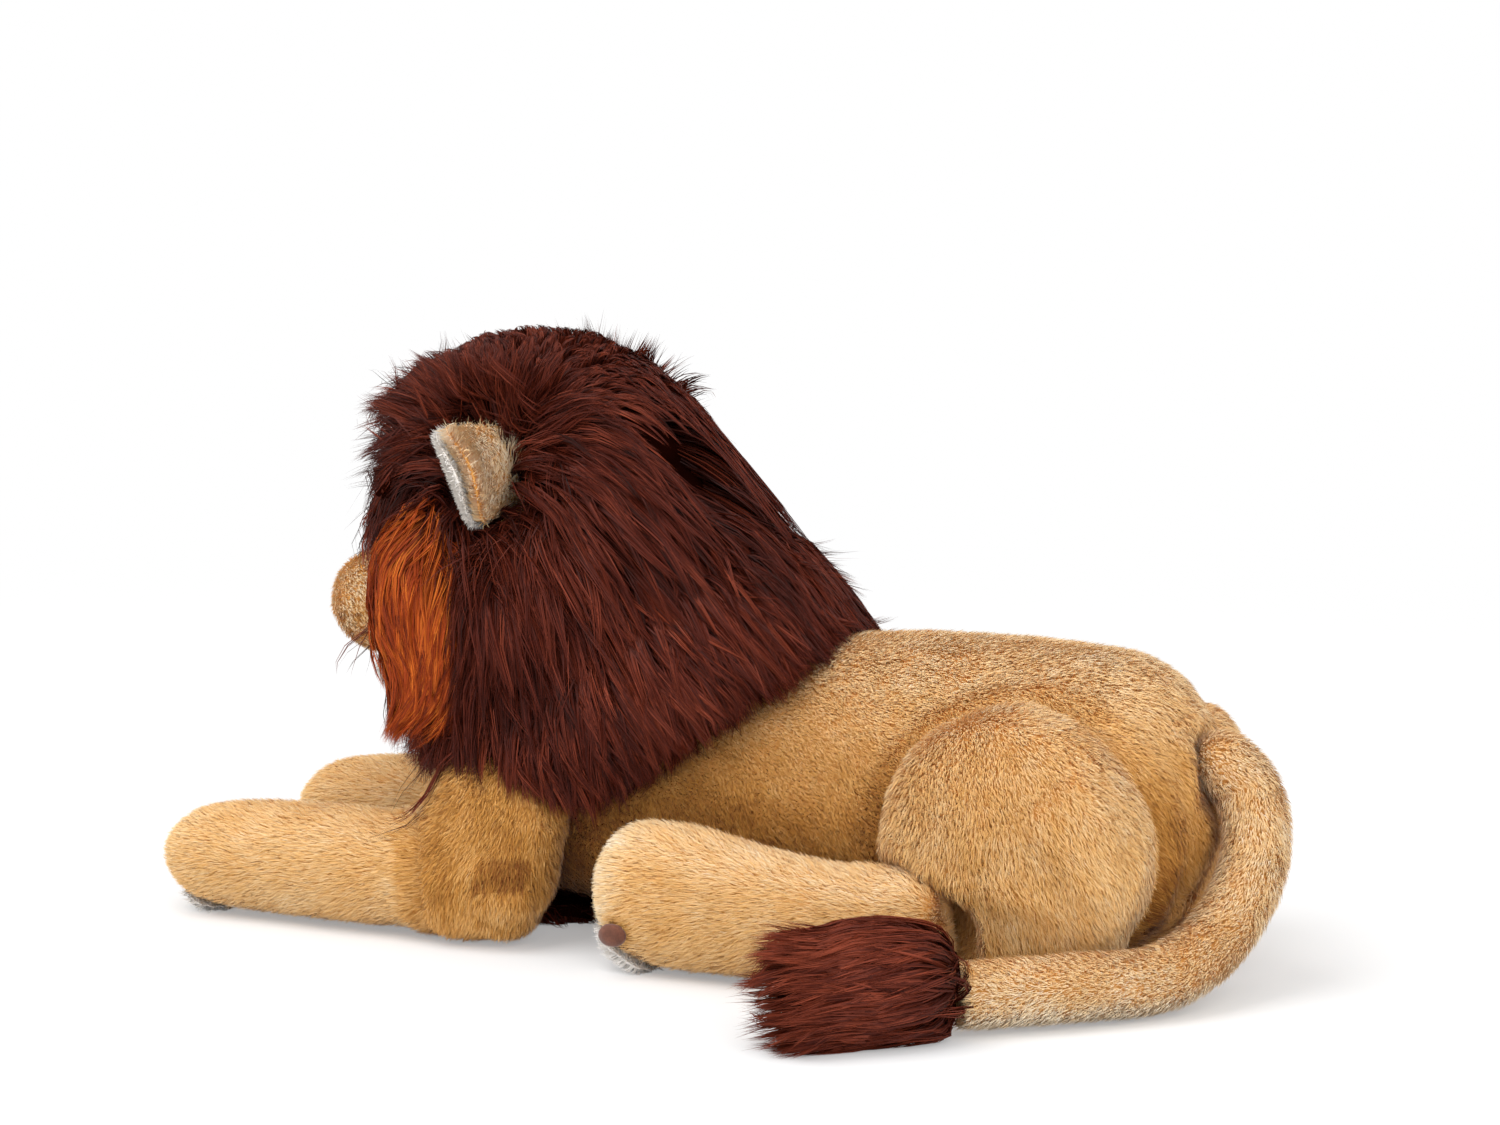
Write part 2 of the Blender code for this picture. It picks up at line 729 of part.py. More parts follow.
def ear_frame(side):
    """The ear's root line, its outward direction and the way it faces."""
    root = Vector((math.sin(-EAR_LEAN), 0, math.cos(EAR_LEAN)))
    outward = Vector((0, side, 0))
    return root, outward, outward.cross(root) * side


def ear_form(side, low, high):
    """The ear as a cupped round pad. Low and high bound its layer across the thickness."""
    root, outward, facing = ear_frame(side)
    start = mirrored(EAR_ROOT, side)
    middle_share = (low + high) / 2
    depth = EAR_THICKNESS * (high - low) / 2
    rows = []
    for a, b, c in EAR_SHARES:
        centre = start + outward * EAR_REACH * a
        centre += facing * (EAR_THICKNESS * middle_share - EAR_CUP * b)
        rows.append((*centre, EAR_HEIGHT / 2 * c, depth))
    return form_mesh(rows, root, (EAR_ROOT_CAP, EAR_CAP), 0, SMALL_SEGMENTS, 2, 3)


def ear_layers(side):
    """The ear's back, then its lining."""
    back = ear_form(side, EAR_SEAM_SHARE, EAR_FACE_SHARE)
    return back, ear_form(side, -EAR_FACE_SHARE, -EAR_SEAM_SHARE)


def build_body(root, materials):
    caps = (CHEST_CAP, RUMP_CAP)
    skin_data = form_mesh(body_rows(), (0, 1, 0), caps, 0.0, BODY_SEGMENTS, 10, 4, floor=0.0)
    cavity_data, filling_data = inner_forms(body_rows(), (0, 1, 0), caps, FABRIC, rings=6)
    skin = new_object("body_skin", skin_data, materials["golden_pile"])
    cavity = new_object("body_cavity", cavity_data, helper=True)
    filling = new_object("body_filling", filling_data, materials["stuffing"])
    cut(skin, cavity)
    head_room = new_object("head_room", head_space_mesh(SWEEP_GAP), helper=True)
    cut(skin, head_room)
    cut(filling, head_room)
    attach(root, skin, filling, cavity, head_room)
    return skin, filling, head_room


def above_neck(mesh):
    """The part of a closed mesh that stands over the neck seam."""
    return plane_cut(mesh, (0, 0, NECK_HEIGHT + GAP), (0, 0, -1))


def build_skull(head, materials):
    caps = (FACE_CAP, SKULL_CAP)
    skin_data = above_neck(form_mesh(head_rows(), (0, 1, 0), caps, 0.0, RING_SEGMENTS, 4, 4))
    cavity_data, filling_data = inner_forms(
        head_rows(), (0, 1, 0), caps, FABRIC, end_rings=3, on_floor=False
    )
    neck_middle = (HEAD_FRONT_X + HEAD_LENGTH / 2, 0, 0)
    bore_data = cylinder_mesh(neck_middle, (0, 0, 1), NECK_BORE_RADIUS, HEAD_MIDDLE, BODY_SEGMENTS)
    skin = new_object("head_skin", skin_data, materials["golden_pile"])
    cavity = new_object("head_cavity", cavity_data, helper=True)
    neck_bore = new_object("neck_bore", above_neck(bore_data), helper=True)
    filling = new_object("head_filling", filling_data, materials["stuffing"])
    low = (HEAD_FRONT_X - POKE, -HEAD_WIDTH, -POKE)
    high = (HEAD_FRONT_X + HEAD_LENGTH + POKE, HEAD_WIDTH, NECK_HEIGHT + GAP)
    filling_seam = box_helper("filling_seam", low, high)
    cut(skin, cavity, neck_bore)
    grown = new_object("head_grown", head_form(GAP), helper=True)
    attach(head, skin, cavity, filling, neck_bore, filling_seam, grown)
    return skin, filling, filling_seam, grown


def build_crown(head, materials, head_grown):
    sizes = (MANE_LENGTH, MANE_WIDTH, MANE_HEIGHT)
    crown_data = above_neck(ellipsoid_mesh((HEAD_AXIS_X, 0, MANE_MIDDLE), sizes, BODY_SEGMENTS))
    crown = new_object("mane_crown", crown_data, materials["mane_pile"])
    front = HEAD_AXIS_X - MANE_LENGTH
    rows = [
        (FACE_OPENING_BACK_X + (front - FACE_OPENING_BACK_X) * a, 0, FACE_OPENING_MIDDLE,
         FACE_OPENING_WIDTH * c / 2, FACE_OPENING_HEIGHT * d / 2)
        for a, b, c, d in FACE_OPENING_SHARES
    ]
    opening_data = form_mesh(rows, (0, 1, 0), (FABRIC, FABRIC), 0, RING_SEGMENTS, 1, 1)
    opening = new_object("face_opening", opening_data, helper=True)
    low = (front, -FACE_OPENING_WIDTH / 2, 0)
    high = (FACE_OPENING_BACK_X, FACE_OPENING_WIDTH / 2, FACE_OPENING_MIDDLE)
    throat = box_helper("throat_opening", low, high)
    cut(crown, head_grown, opening, throat)
    attach(head, crown, opening, throat)
    return crown


def build_muzzle(head, materials, head_grown):
    rooms = []
    sizes = (MUZZLE_LENGTH, MUZZLE_PAD_WIDTH, MUZZLE_HEIGHT)
    grown = [size + 2 * GAP for size in sizes]
    for name, side in SIDES:
        middle = (MUZZLE_X, MUZZLE_PAD_OFFSET * side, MUZZLE_Z)
        pad_data = plane_cut(ellipsoid_mesh(middle, sizes), (0, GAP / 2 * side, 0), (0, -side, 0))
        pad = new_object("muzzle_pad_" + name, pad_data, materials["golden_pile"])
        room = new_object("muzzle_room_" + name, ellipsoid_mesh(middle, grown), helper=True)
        cut(pad, head_grown)
        attach(head, pad, room)
        rooms.append(room)
    chin_data = ellipsoid_mesh((CHIN_X, 0, CHIN_Z), (CHIN_LENGTH, CHIN_WIDTH, CHIN_HEIGHT))
    chin = new_object("chin", chin_data, materials["white_pile"])
    rows = [
        (GUSSET_X + GUSSET_REACH * a, 0, GUSSET_Z + GUSSET_RISE * b,
         GUSSET_WIDTH * c / 2, GUSSET_DEPTH * d / 2)
        for a, b, c, d in GUSSET_SHARES
    ]
    shape = (rows, (0, 1, 0), (GUSSET_CAP, GUSSET_CAP))
    gusset_data = form_mesh(*shape, 0, SMALL_SEGMENTS, 2, 2)
    gusset = new_object("snout_gusset", gusset_data, materials["golden_pile"])
    room_data = form_mesh(*shape, -GAP, SMALL_SEGMENTS, 2, 2)
    gusset_room = new_object("gusset_room", room_data, helper=True)
    nose_data = ellipsoid_mesh((NOSE_X, 0, NOSE_Z), (NOSE_DEPTH, NOSE_WIDTH, NOSE_HEIGHT))
    nose = new_object("nose", nose_data, materials["suede"])
    cut(chin, head_grown, *rooms)
    cut(gusset, head_grown, *rooms)
    cut(nose, gusset_room, *rooms)
    attach(head, chin, gusset, gusset_room, nose)
    return gusset


def build_cheek(head, materials, name, side, head_grown, crown):
    cheek_data = above_neck(cheek_form(side, 0))
    cheek = new_object("cheek_hair_" + name, cheek_data, materials["rust_pile"])
    room = new_object("cheek_room_" + name, cheek_form(side, GAP), helper=True)
    cut(cheek, head_grown)
    cut(crown, room)
    attach(head, cheek, room)
    return cheek


def build_ear(head, materials, name, side, neighbours):
    """The ear's two layers, clear of the head and of the hair around them wherever it folds."""
    root = mirrored(EAR_ROOT, side)
    root_line, _, _ = ear_frame(side)
    ear = joint_empty("ear_fold_" + name, root, head)
    folds = [EAR_FOLD * share for share in EAR_FOLD_SHARES]
    back_data, lining_data = ear_layers(side)
    back = new_object("ear_back_" + name, back_data, materials["golden_pile"])
    lining = new_object("ear_lining_" + name, lining_data, materials["white_pile"])
    room = swept_helper("ear_room_" + name, ear_layers(side), root, root_line, folds)
    for neighbour in neighbours:
        cut(neighbour, room)
    for step, fold in enumerate(folds):
        turned = head_form(GAP)
        turned.transform(turn_about(root, root_line, fold))
        head_turned = new_object("head_from_ear_%s_%d" % (name, step), turned, helper=True)
        cut(back, head_turned)
        cut(lining, head_turned)
        attach(ear, head_turned)
    attach(ear, back, lining)
    attach(head, room)


def build_eye(head, materials, name, side, skin, filling, gusset):
    flat = math.cos(EYE_RISE)
    turn = Vector((
        -math.cos(EYE_TURN) * flat, side * math.sin(EYE_TURN) * flat, math.sin(EYE_RISE)
    ))
    middle = Vector((HEAD_FRONT_X + HEAD_LENGTH * EYE_MIDDLE_SHARE, 0, HEAD_MIDDLE))
    base = middle + turn * EYE_REACH
    quat = turn.to_track_quat("Z", "Y").to_matrix().to_4x4()
    sizes = (2 * EYE_RADIUS, 2 * EYE_RADIUS, 2 * EYE_DOME_HEIGHT)
    dome = plane_cut(ellipsoid_mesh(base, sizes, turn=quat), base, -turn)
    eye = new_object("eye_" + name, dome, materials["eye_plastic"])

    start = base - turn * EYE_SHANK_LENGTH
    length = EYE_SHANK_LENGTH + EYE_DOME_HEIGHT / 2
    shank_data = cylinder_mesh(start, turn, EYE_SHANK_RADIUS, length)
    shank = new_object("eye_shank_" + name, shank_data, helper=True)
    joined = eye.modifiers.new("shank", "BOOLEAN")
    joined.operation = "UNION"
    joined.solver = "EXACT"
    joined.object = shank

    seat_data = cylinder_mesh(base, turn, EYE_RADIUS + GAP, POKE)
    seat = new_object("eye_seat_" + name, seat_data, helper=True)
    bore_length = EYE_SHANK_LENGTH + GAP * 2
    bore_data = cylinder_mesh(start - turn * GAP, turn, EYE_SHANK_RADIUS + GAP, bore_length)
    bore = new_object("shank_room_" + name, bore_data, helper=True)
    start = base - turn * (WASHER_DEPTH + WASHER_THICKNESS)
    washer_data = cylinder_mesh(start, turn, WASHER_RADIUS, WASHER_THICKNESS)
    washer = new_object("eye_washer_" + name, washer_data, materials["washer_plastic"])
    room_length = WASHER_THICKNESS + 2 * GAP
    room_data = cylinder_mesh(start - turn * GAP, turn, WASHER_RADIUS + GAP, room_length)
    room = new_object("washer_room_" + name, room_data, helper=True)
    cut(washer, bore)
    cut(skin, seat, bore, room)
    cut(filling, room, bore)
    cut(gusset, seat)
    attach(head, eye, shank, seat, bore, washer, room)


def build_head(head, materials):
    skin, filling, filling_seam, head_grown = build_skull(head, materials)
    crown = build_crown(head, materials, head_grown)
    gusset = build_muzzle(head, materials, head_grown)
    for name, side in SIDES:
        cheek = build_cheek(head, materials, name, side, head_grown, crown)
        build_ear(head, materials, name, side, (crown, cheek))
        build_eye(head, materials, name, side, skin, filling, gusset)
    cut(filling, filling_seam)


def build_lower_limb(lift, materials, stem, name, rows, caps, sole_start, sole_slope):
    """A limb's skin, stuffing and white sole, cut from one form by a sloping seam."""
    shape = (rows, (0, 1, 0), caps, 0, RING_SEGMENTS, 5, 3)
    seam = Vector((rows[-1][0] + sole_start, 0, 0))
    normal = Vector((-math.sin(sole_slope), 0, -math.cos(sole_slope)))
    skin_data = plane_cut(form_mesh(*shape, 0.0), seam, normal)
    opened = caps[0] + FABRIC
    cavity_data, filling_data = inner_forms(
        rows, (0, 1, 0), caps, THIN_FABRIC, open_start=opened
    )
    sole_data = plane_cut(form_mesh(*shape, 0.0), seam + normal * GAP, -normal)
    filling_data = plane_cut(filling_data, seam - normal * GAP, normal)
    colour, sole_stem = LIMB_LOOKS[stem]
    skin = new_object(stem + "_skin_" + name, skin_data, materials[colour])
    cavity = new_object(stem + "_cavity_" + name, cavity_data, helper=True)
    filling = new_object(stem + "_filling_" + name, filling_data, materials["stuffing"])
    sole = new_object(sole_stem + name, sole_data, materials["white_pile"])
    cut(skin, cavity)
    attach(lift, skin, cavity, filling, sole)
    return skin, filling, sole, form_mesh(*shape)


def build_forelegs(root, materials, body_grown):
    helpers = []
    for name, side in SIDES:
        pivot = Vector((ELBOW_X, FORELEG_SIDE * side, FORELEG_HEIGHT / 2))
        lift = joint_empty("foreleg_lift_" + name, pivot, root)
        _, _, _, whole = build_lower_limb(
            lift, materials, "foreleg", name, foreleg_rows(side), (FORELEG_BACK_CAP, PAW_CAP),
            PAW_SOLE_START, PAW_SOLE_SLOPE,
        )
        sweep = [FORELEG_LIFT * share for share in LIFT_SHARES]
        room = swept_helper("foreleg_room_" + name, [whole], pivot, (0, 1, 0), sweep)

        rows = upper_arm_rows(side)
        caps = (UPPER_ARM_TOP_CAP, ELBOW_CAP)
        upper_data = form_mesh(rows, (1, 0, 0), caps, 0, RING_SEGMENTS, 4, 3, 0.0)
        hollow_data, stuffing_data = inner_forms(rows, (1, 0, 0), caps, THIN_FABRIC)
        upper = new_object("upper_foreleg_skin_" + name, upper_data, materials["golden_pile"])
        hollow = new_object("upper_foreleg_cavity_" + name, hollow_data, helper=True)
        stuffing = new_object(
            "upper_foreleg_filling_" + name, stuffing_data, materials["stuffing"]
        )
        grown_data = upper_arm_form(side, GAP)
        grown = new_object("upper_foreleg_grown_" + name, grown_data, helper=True)
        cut(upper, hollow, room, body_grown)
        cut(stuffing, room, body_grown)
        attach(root, room, upper, hollow, stuffing, grown)
        helpers.append(grown)
    return helpers


def build_toe_patch(lift, materials, name, rows, neighbours):
    out = math.copysign(TOE_PATCH_OUT, rows[-1][1])
    middle = (rows[-1][0] + TOE_PATCH_INSET, rows[-1][1] + out, TOE_PATCH_RISE)
    sizes = (TOE_PATCH_LENGTH, TOE_PATCH_DEPTH, TOE_PATCH_HEIGHT)
    patch = new_object("toe_patch_" + name, ellipsoid_mesh(middle, sizes), materials["suede"])
    grown = [size + 2 * GAP for size in sizes]
    room = new_object("toe_patch_room_" + name, ellipsoid_mesh(middle, grown), helper=True)
    for neighbour in neighbours:
        cut(neighbour, room)
    attach(lift, patch, room)


def build_hind_legs(root, materials, body_grown, tail_room):
    for name, side in SIDES:
        pivot = Vector((KNEE_X, FOOT_SIDE * side, FOOT_HEIGHT * KNEE_RISE_SHARE))
        lift = joint_empty("hind_foot_lift_" + name, pivot, root)
        skin, filling, sole, whole = build_lower_limb(
            lift, materials, "hind_foot", name, foot_rows(side), (KNEE_CAP, TOE_CAP),
            FOOT_SOLE_START, FOOT_SOLE_SLOPE,
        )
        build_toe_patch(lift, materials, name, foot_rows(side), (skin, filling, sole))
        sweep = [FOOT_LIFT * share for share in LIFT_SHARES]
        room = swept_helper(
            "hind_foot_room_" + name, [whole], pivot, (0, 1, 0), sweep, FOOT_SWEEP_GAP
        )

        rows = thigh_rows(side)
        caps = (THIGH_ROOT_CAP, THIGH_CAP)
        thigh_data = form_mesh(rows, (1, 0, 0), caps, 0, BODY_SEGMENTS, 1, 4, 0.0)
        hollow_data, stuffing_data = inner_forms(
            rows, (1, 0, 0), caps, THIN_FABRIC, SMALL_SEGMENTS, 1, 3, open_start=FABRIC
        )
        thigh = new_object("thigh_skin_" + name, thigh_data, materials["golden_pile"])
        hollow = new_object("thigh_cavity_" + name, hollow_data, helper=True)
        stuffing = new_object("thigh_filling_" + name, stuffing_data, materials["stuffing"])
        cut(thigh, hollow, body_grown, room)
        cut(stuffing, body_grown, room)
        if side < 0:
            cut(thigh, tail_room)
        attach(root, thigh, hollow, stuffing, room)


def build_tail(root, materials, body_skin, body_filling):
    pivot = Vector((TAIL_ROOT_X, 0, TAIL_ROOT_Z))
    swing = joint_empty("tail_swing", pivot, root)
    rows = tail_rows()
    caps = (TAIL_DIAMETER / 2, TAIL_END_CAP)
    skin_data = form_mesh(rows, (0, 1, 0), caps, 0, SMALL_SEGMENTS, 14, 3, 0.0)
    cavity_data, filling_data = inner_forms(
        rows, (0, 1, 0), caps, THIN_FABRIC, TAIL_INNER_SEGMENTS, 10, open_end=FABRIC
    )
    skin = new_object("tail_skin", skin_data, materials["golden_pile"])
    cavity = new_object("tail_cavity", cavity_data, helper=True)
    filling = new_object("tail_filling", filling_data, materials["stuffing"])
    cut(skin, cavity)

    end = Vector(rows[-1][:3])
    heading = end - Vector(rows[-2][:3])
    heading.z = 0
    heading.normalize()
    tuft_rows = []
    for a, b, c in TUFT_SHARES:
        place = end + heading * (TUFT_LENGTH * a - TUFT_OVERLAP)
        half = TUFT_DIAMETER * c / 2
        tuft_rows.append((place.x, place.y, TUFT_DIAMETER * b, half, half))
    tuft_caps = (TUFT_ROOT_CAP, TUFT_TIP_CAP)
    tuft_data = form_mesh(tuft_rows, (0, 0, 1), tuft_caps, 0, RING_SEGMENTS, 3, 3, 0.0)
    tuft = new_object("tail_tuft", tuft_data, materials["mane_pile"])
    grown_data = form_mesh(rows, (0, 1, 0), caps, -GAP, SMALL_SEGMENTS, 14, 3)
    tail_grown = new_object("tail_grown", grown_data, helper=True)
    cut(tuft, tail_grown)

    swings = [TAIL_SWING * share for share in SWING_SHARES]
    root_rows = rows[:TAIL_ROOT_ROWS]
    root_caps = (caps[0], TAIL_DIAMETER / 2)
    root_form = form_mesh(root_rows, (0, 1, 0), root_caps, 0, SMALL_SEGMENTS, 3, 3)
    socket = swept_helper("tail_socket", [root_form], pivot, (0, 0, 1), swings)
    cut(body_skin, socket)
    cut(body_filling, socket)
    attach(swing, skin, cavity, filling, tuft, tail_grown)
    attach(root, socket)
    return tail_grown


def cheek_sweep(name, side):
    """Room for the hair beside the face as the head turns."""
    turns = [-HEAD_TURN, 0.0, HEAD_TURN]
    pivot = (HEAD_AXIS_X, 0, MANE_MIDDLE)
    form = above_neck(cheek_form(side, 0))
    return swept_helper("cheek_sweep_" + name, [form], pivot, (0, 0, 1), turns)


def build_ruff(root, materials, body_grown, head_room, arm_helpers):
    rows = along_body(RUFF_SHARES, RUFF_FRONT_X, RUFF_LENGTH, RUFF_WIDTH, RUFF_HEIGHT)
    data = form_mesh(rows, (0, 1, 0), (RUFF_CAP, RUFF_TIP_CAP), 0, BODY_SEGMENTS, 7, 3)
    hem = (RUFF_HEM_BEND_X, 0, RUFF_HEM)
    plane_cut(data, hem, (0, 0, -1))
    plane_cut(data, hem, (math.sin(RUFF_HEM_SLOPE), 0, -math.cos(RUFF_HEM_SLOPE)))
    ruff = new_object("mane_ruff", data, materials["mane_pile"])
    low = (RUFF_FRONT_X - POKE, -RUFF_WIDTH, NECK_HEIGHT)
    high = (RUFF_SHOULDER_X, RUFF_WIDTH, MANE_MIDDLE + MANE_HEIGHT)
    front = box_helper("ruff_front", low, high)
    cheek_rooms = [cheek_sweep(name, side) for name, side in SIDES]
    cut(ruff, body_grown, head_room, front, *cheek_rooms, *arm_helpers)
    attach(root, ruff, front, *cheek_rooms)


def build_chest_hair(root, materials, body_grown):
    rows = [
        (CHEST_PAD_BACK_X + CHEST_PAD_LENGTH * a, 0, CHEST_PAD_RISE * b,
         CHEST_PAD_WIDTH * c / 2, CHEST_PAD_DEPTH * d / 2)
        for a, b, c, d in CHEST_PAD_SHARES
    ]
    caps = (CHEST_PAD_CAP, CHEST_PAD_CAP)
    data = form_mesh(rows, (0, 1, 0), caps, 0, SMALL_SEGMENTS, 6, 2, 0.0)
    pad = new_object("chest_hair", data, materials["mane_pile"])
    low = (RUFF_FRONT_X - POKE, -RUFF_WIDTH, RUFF_HEM - GAP)
    high = (RUFF_FRONT_X + RUFF_LENGTH, RUFF_WIDTH, MANE_MIDDLE + MANE_HEIGHT)
    top = box_helper("chest_hair_top", low, high)
    cut(pad, body_grown, top)
    attach(root, pad, top)


def centre_over_floor(root):
    """Moves the whole to stand centred over the origin."""
    bpy.context.view_layer.update()
    graph = bpy.context.evaluated_depsgraph_get()
    corners = []
    for item in bpy.context.scene.objects:
        if item.type == "MESH" and not item.hide_render:
            shown = item.evaluated_get(graph)
            corners += [shown.matrix_world @ Vector(corner) for corner in shown.bound_box]
    corners = np.array(corners)
    middle = (corners.min(axis=0) + corners.max(axis=0)) / 2
    root.location.x -= middle[0]
    root.location.y -= middle[1]


def main():
    clear_scene()
    materials = make_materials()
    root = joint_empty("lion", (0, 0, 0), None)
    head = joint_empty("head_turn", (HEAD_AXIS_X, 0, MANE_MIDDLE), root)
    body_skin, body_filling, head_room = build_body(root, materials)
    body_grown = new_object("body_grown", body_form(GAP), helper=True)
    attach(root, body_grown)
    build_head(head, materials)
    arm_helpers = build_forelegs(root, materials, body_grown)
    tail_room = build_tail(root, materials, body_skin, body_filling)
    build_hind_legs(root, materials, body_grown, tail_room)
    build_ruff(root, materials, body_grown, head_room, arm_helpers)
    build_chest_hair(root, materials, body_grown)
    centre_over_floor(root)


main()
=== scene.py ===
"""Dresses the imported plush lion.

Stuffed forms under short golden pile, a long brown mane, the face, ears, soles and tail tuft, and a plain studio.
"""

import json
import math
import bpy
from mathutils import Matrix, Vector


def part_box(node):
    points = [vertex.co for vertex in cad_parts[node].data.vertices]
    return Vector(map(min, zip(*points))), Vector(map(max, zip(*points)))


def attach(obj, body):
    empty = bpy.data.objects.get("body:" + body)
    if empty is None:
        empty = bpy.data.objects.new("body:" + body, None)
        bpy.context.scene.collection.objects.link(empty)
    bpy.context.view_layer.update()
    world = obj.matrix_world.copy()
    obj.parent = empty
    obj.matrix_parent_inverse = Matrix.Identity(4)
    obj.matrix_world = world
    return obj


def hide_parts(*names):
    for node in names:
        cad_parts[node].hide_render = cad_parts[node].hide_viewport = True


bl_info = {
    "name": "Plush lion",
    "version": (1, 0, 0),
    "blender": (4, 5, 0),
    "location": "View3D > Sidebar > Plush lion",
    "description": "Builds a lying plush lion over its packed frame and a plain studio round it",
    "category": "Object",
}

import bmesh
import bpy
import numpy as np
from bpy.props import FloatProperty, FloatVectorProperty, PointerProperty
from mathutils import Vector
from mathutils.bvhtree import BVHTree
from mathutils.kdtree import KDTree

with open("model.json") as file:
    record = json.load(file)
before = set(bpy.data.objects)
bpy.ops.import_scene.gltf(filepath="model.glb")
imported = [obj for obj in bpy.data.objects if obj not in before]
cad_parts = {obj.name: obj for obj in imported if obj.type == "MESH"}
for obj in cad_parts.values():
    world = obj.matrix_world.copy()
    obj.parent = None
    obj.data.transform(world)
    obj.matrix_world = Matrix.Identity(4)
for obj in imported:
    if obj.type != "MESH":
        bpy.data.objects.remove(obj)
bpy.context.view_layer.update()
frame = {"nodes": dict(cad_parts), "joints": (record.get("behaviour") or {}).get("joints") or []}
JOINTS = {joint["name"]: joint for joint in frame["joints"]}
SIDES = {"left": -1.0, "right": 1.0}
MILLIMETRE = 0.001
MOST_FACES = 195000


def pivot(joint):
    """Where a joint's axis passes, in metres."""
    return np.array(JOINTS[joint]["pos_m"], float)


SPINE_Y = float(pivot("tail_swing")[1])
HEAD_MIDDLE = pivot("head_turn")
HEAD_CENTRE = np.array([HEAD_MIDDLE[0] - 0.010, SPINE_Y, 0.145])
# Hair starts behind this plane where it frames the face, and over the lap it takes to the whole mane's hull
HULL_LAP = 0.02
FACE_RIM_X = float(HEAD_CENTRE[0]) - 0.012
EAR_LEAN = math.radians(24)
EAR_HEIGHT = 0.046
EAR_CURL = 0.0046
EAR_X, _, EAR_Z = (float(v) for v in pivot("ear_fold_left"))
NOSE_TIP = np.array([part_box("nose")[0][0], SPINE_Y, sum(c[2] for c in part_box("nose")) / 2])
# The tail's middle line from the rump to the tuft, from its pivot, as the CAD bends it
TAIL_ROUTE = pivot("tail_swing") + np.array([
    (-0.0130, 0.0, 0.0069), (0.0004, 0.0, 0.0), (0.0128, -0.0027, -0.0103), (0.0186, -0.0109, -0.0327),
    (0.0136, -0.0292, -0.0563), (0.0016, -0.0619, -0.0709), (-0.0240, -0.0925, -0.0712),
    (-0.0500, -0.1170, -0.0712), (-0.0600, -0.1265, -0.0710), (-0.1200, -0.1835, -0.0710),
])

LIMB_INSET = 0.0043
LIMB_FILL = 0.85
TRIM_DENSITY = 2.4
# Cloth whose point this far out is deep in a neighbour's stuffing is hidden and grows no pile
UNDER_LIMB = 0.012
UNDER_LIMB_MARGIN = 0.006
EAR_CLEARANCE = 0.001
EAR_MIDDLE_BACK = 0.0044
EAR_HALF_THICKNESS = 0.0095
EAR_BARE_FROM = 0.004
# Outlines of the rust hair seen from the side, from the ear to the tip: forward or back, and height
CHEEK_FRONT = (
    (-0.0764, 0.1906), (-0.0942, 0.1837), (-0.1145, 0.1686), (-0.1323, 0.1504), (-0.1303, 0.1337),
    (-0.1241, 0.1220), (-0.1161, 0.1146), (-0.1135, 0.1047), (-0.1151, 0.0933), (-0.1198, 0.0805),
)
CHEEK_BACK = (
    (-0.0654, 0.1912), (-0.0792, 0.1751), (-0.0803, 0.1608), (-0.0826, 0.1460), (-0.0891, 0.1229),
    (-0.0961, 0.0992), (-0.1083, 0.0890), (-0.1189, 0.0797),
)
# Creases seen on the left side, from each lifting joint: forward or back, outward, and height over the floor
ARM_CREASES = (
    ((-0.0331, 0.0560, 0.0438), (-0.0201, 0.0598, 0.0351), (0.0019, 0.0672, 0.0276),
     (0.0147, 0.0661, 0.0213), (0.0221, 0.0617, 0.0150)),
    ((-0.0227, 0.0593, 0.0372), (-0.0284, 0.0616, 0.0237), (-0.0436, 0.0576, 0.0104)),
)
KNEE_CREASES = (
    ((0.0144, 0.0454, 0.0487), (0.0317, 0.0475, 0.0372), (0.0366, 0.0444, 0.0255)),
    ((-0.0129, 0.0535, 0.0439), (-0.0100, 0.0507, 0.0456), (0.0049, 0.0517, 0.0413)),
)
FOOT_CREASES = (
    ((-0.1192, 0.0589, 0.0462), (-0.0981, 0.0598, 0.0483), (-0.0811, 0.0599, 0.0459),
     (-0.0644, 0.0593, 0.0442), (-0.0402, 0.0573, 0.0441), (-0.0147, 0.0540, 0.0438)),
    ((-0.1319, 0.0529, 0.0269), (-0.1239, 0.0600, 0.0350), (-0.1146, 0.0630, 0.0352),
     (-0.1079, 0.0636, 0.0293), (-0.1056, 0.0623, 0.0194), (-0.1088, 0.0559, 0.0079)),
)


def limb_routes(joint, hand, creases):
    """Crease lines of one side's limb in the frame, from their places beside its lifting joint."""
    x, y, _ = pivot(f"{joint}_{hand}")
    return [[(x + along, y + SIDES[hand] * outward, z) for along, outward, z in route] for route in creases]


def creased(routes, width=0.0045):
    """A function that is 1 in a crease of a limb's cloth and 0 away from it."""
    return lambda points: seam_nearness(points, routes, width, LIMB_INSET)


def linear(colour):
    """A hex sRGB colour as linear red, green and blue with full alpha."""
    channels = [int(colour[i:i + 2], 16) / 255 for i in (1, 3, 5)]
    return tuple(
        c / 12.92 if c <= 0.04045 else ((c + 0.055) / 1.055) ** 2.4 for c in channels
    ) + (1.0,)


def colour(name, description, default):
    return FloatVectorProperty(
        name=name, description=description, subtype="COLOR", size=4, min=0, max=1,
        default=linear(default),
    )


def length(name, description, default):
    return FloatProperty(
        name=name, description=description, unit="LENGTH", subtype="DISTANCE", min=0,
        precision=5, default=default,
    )


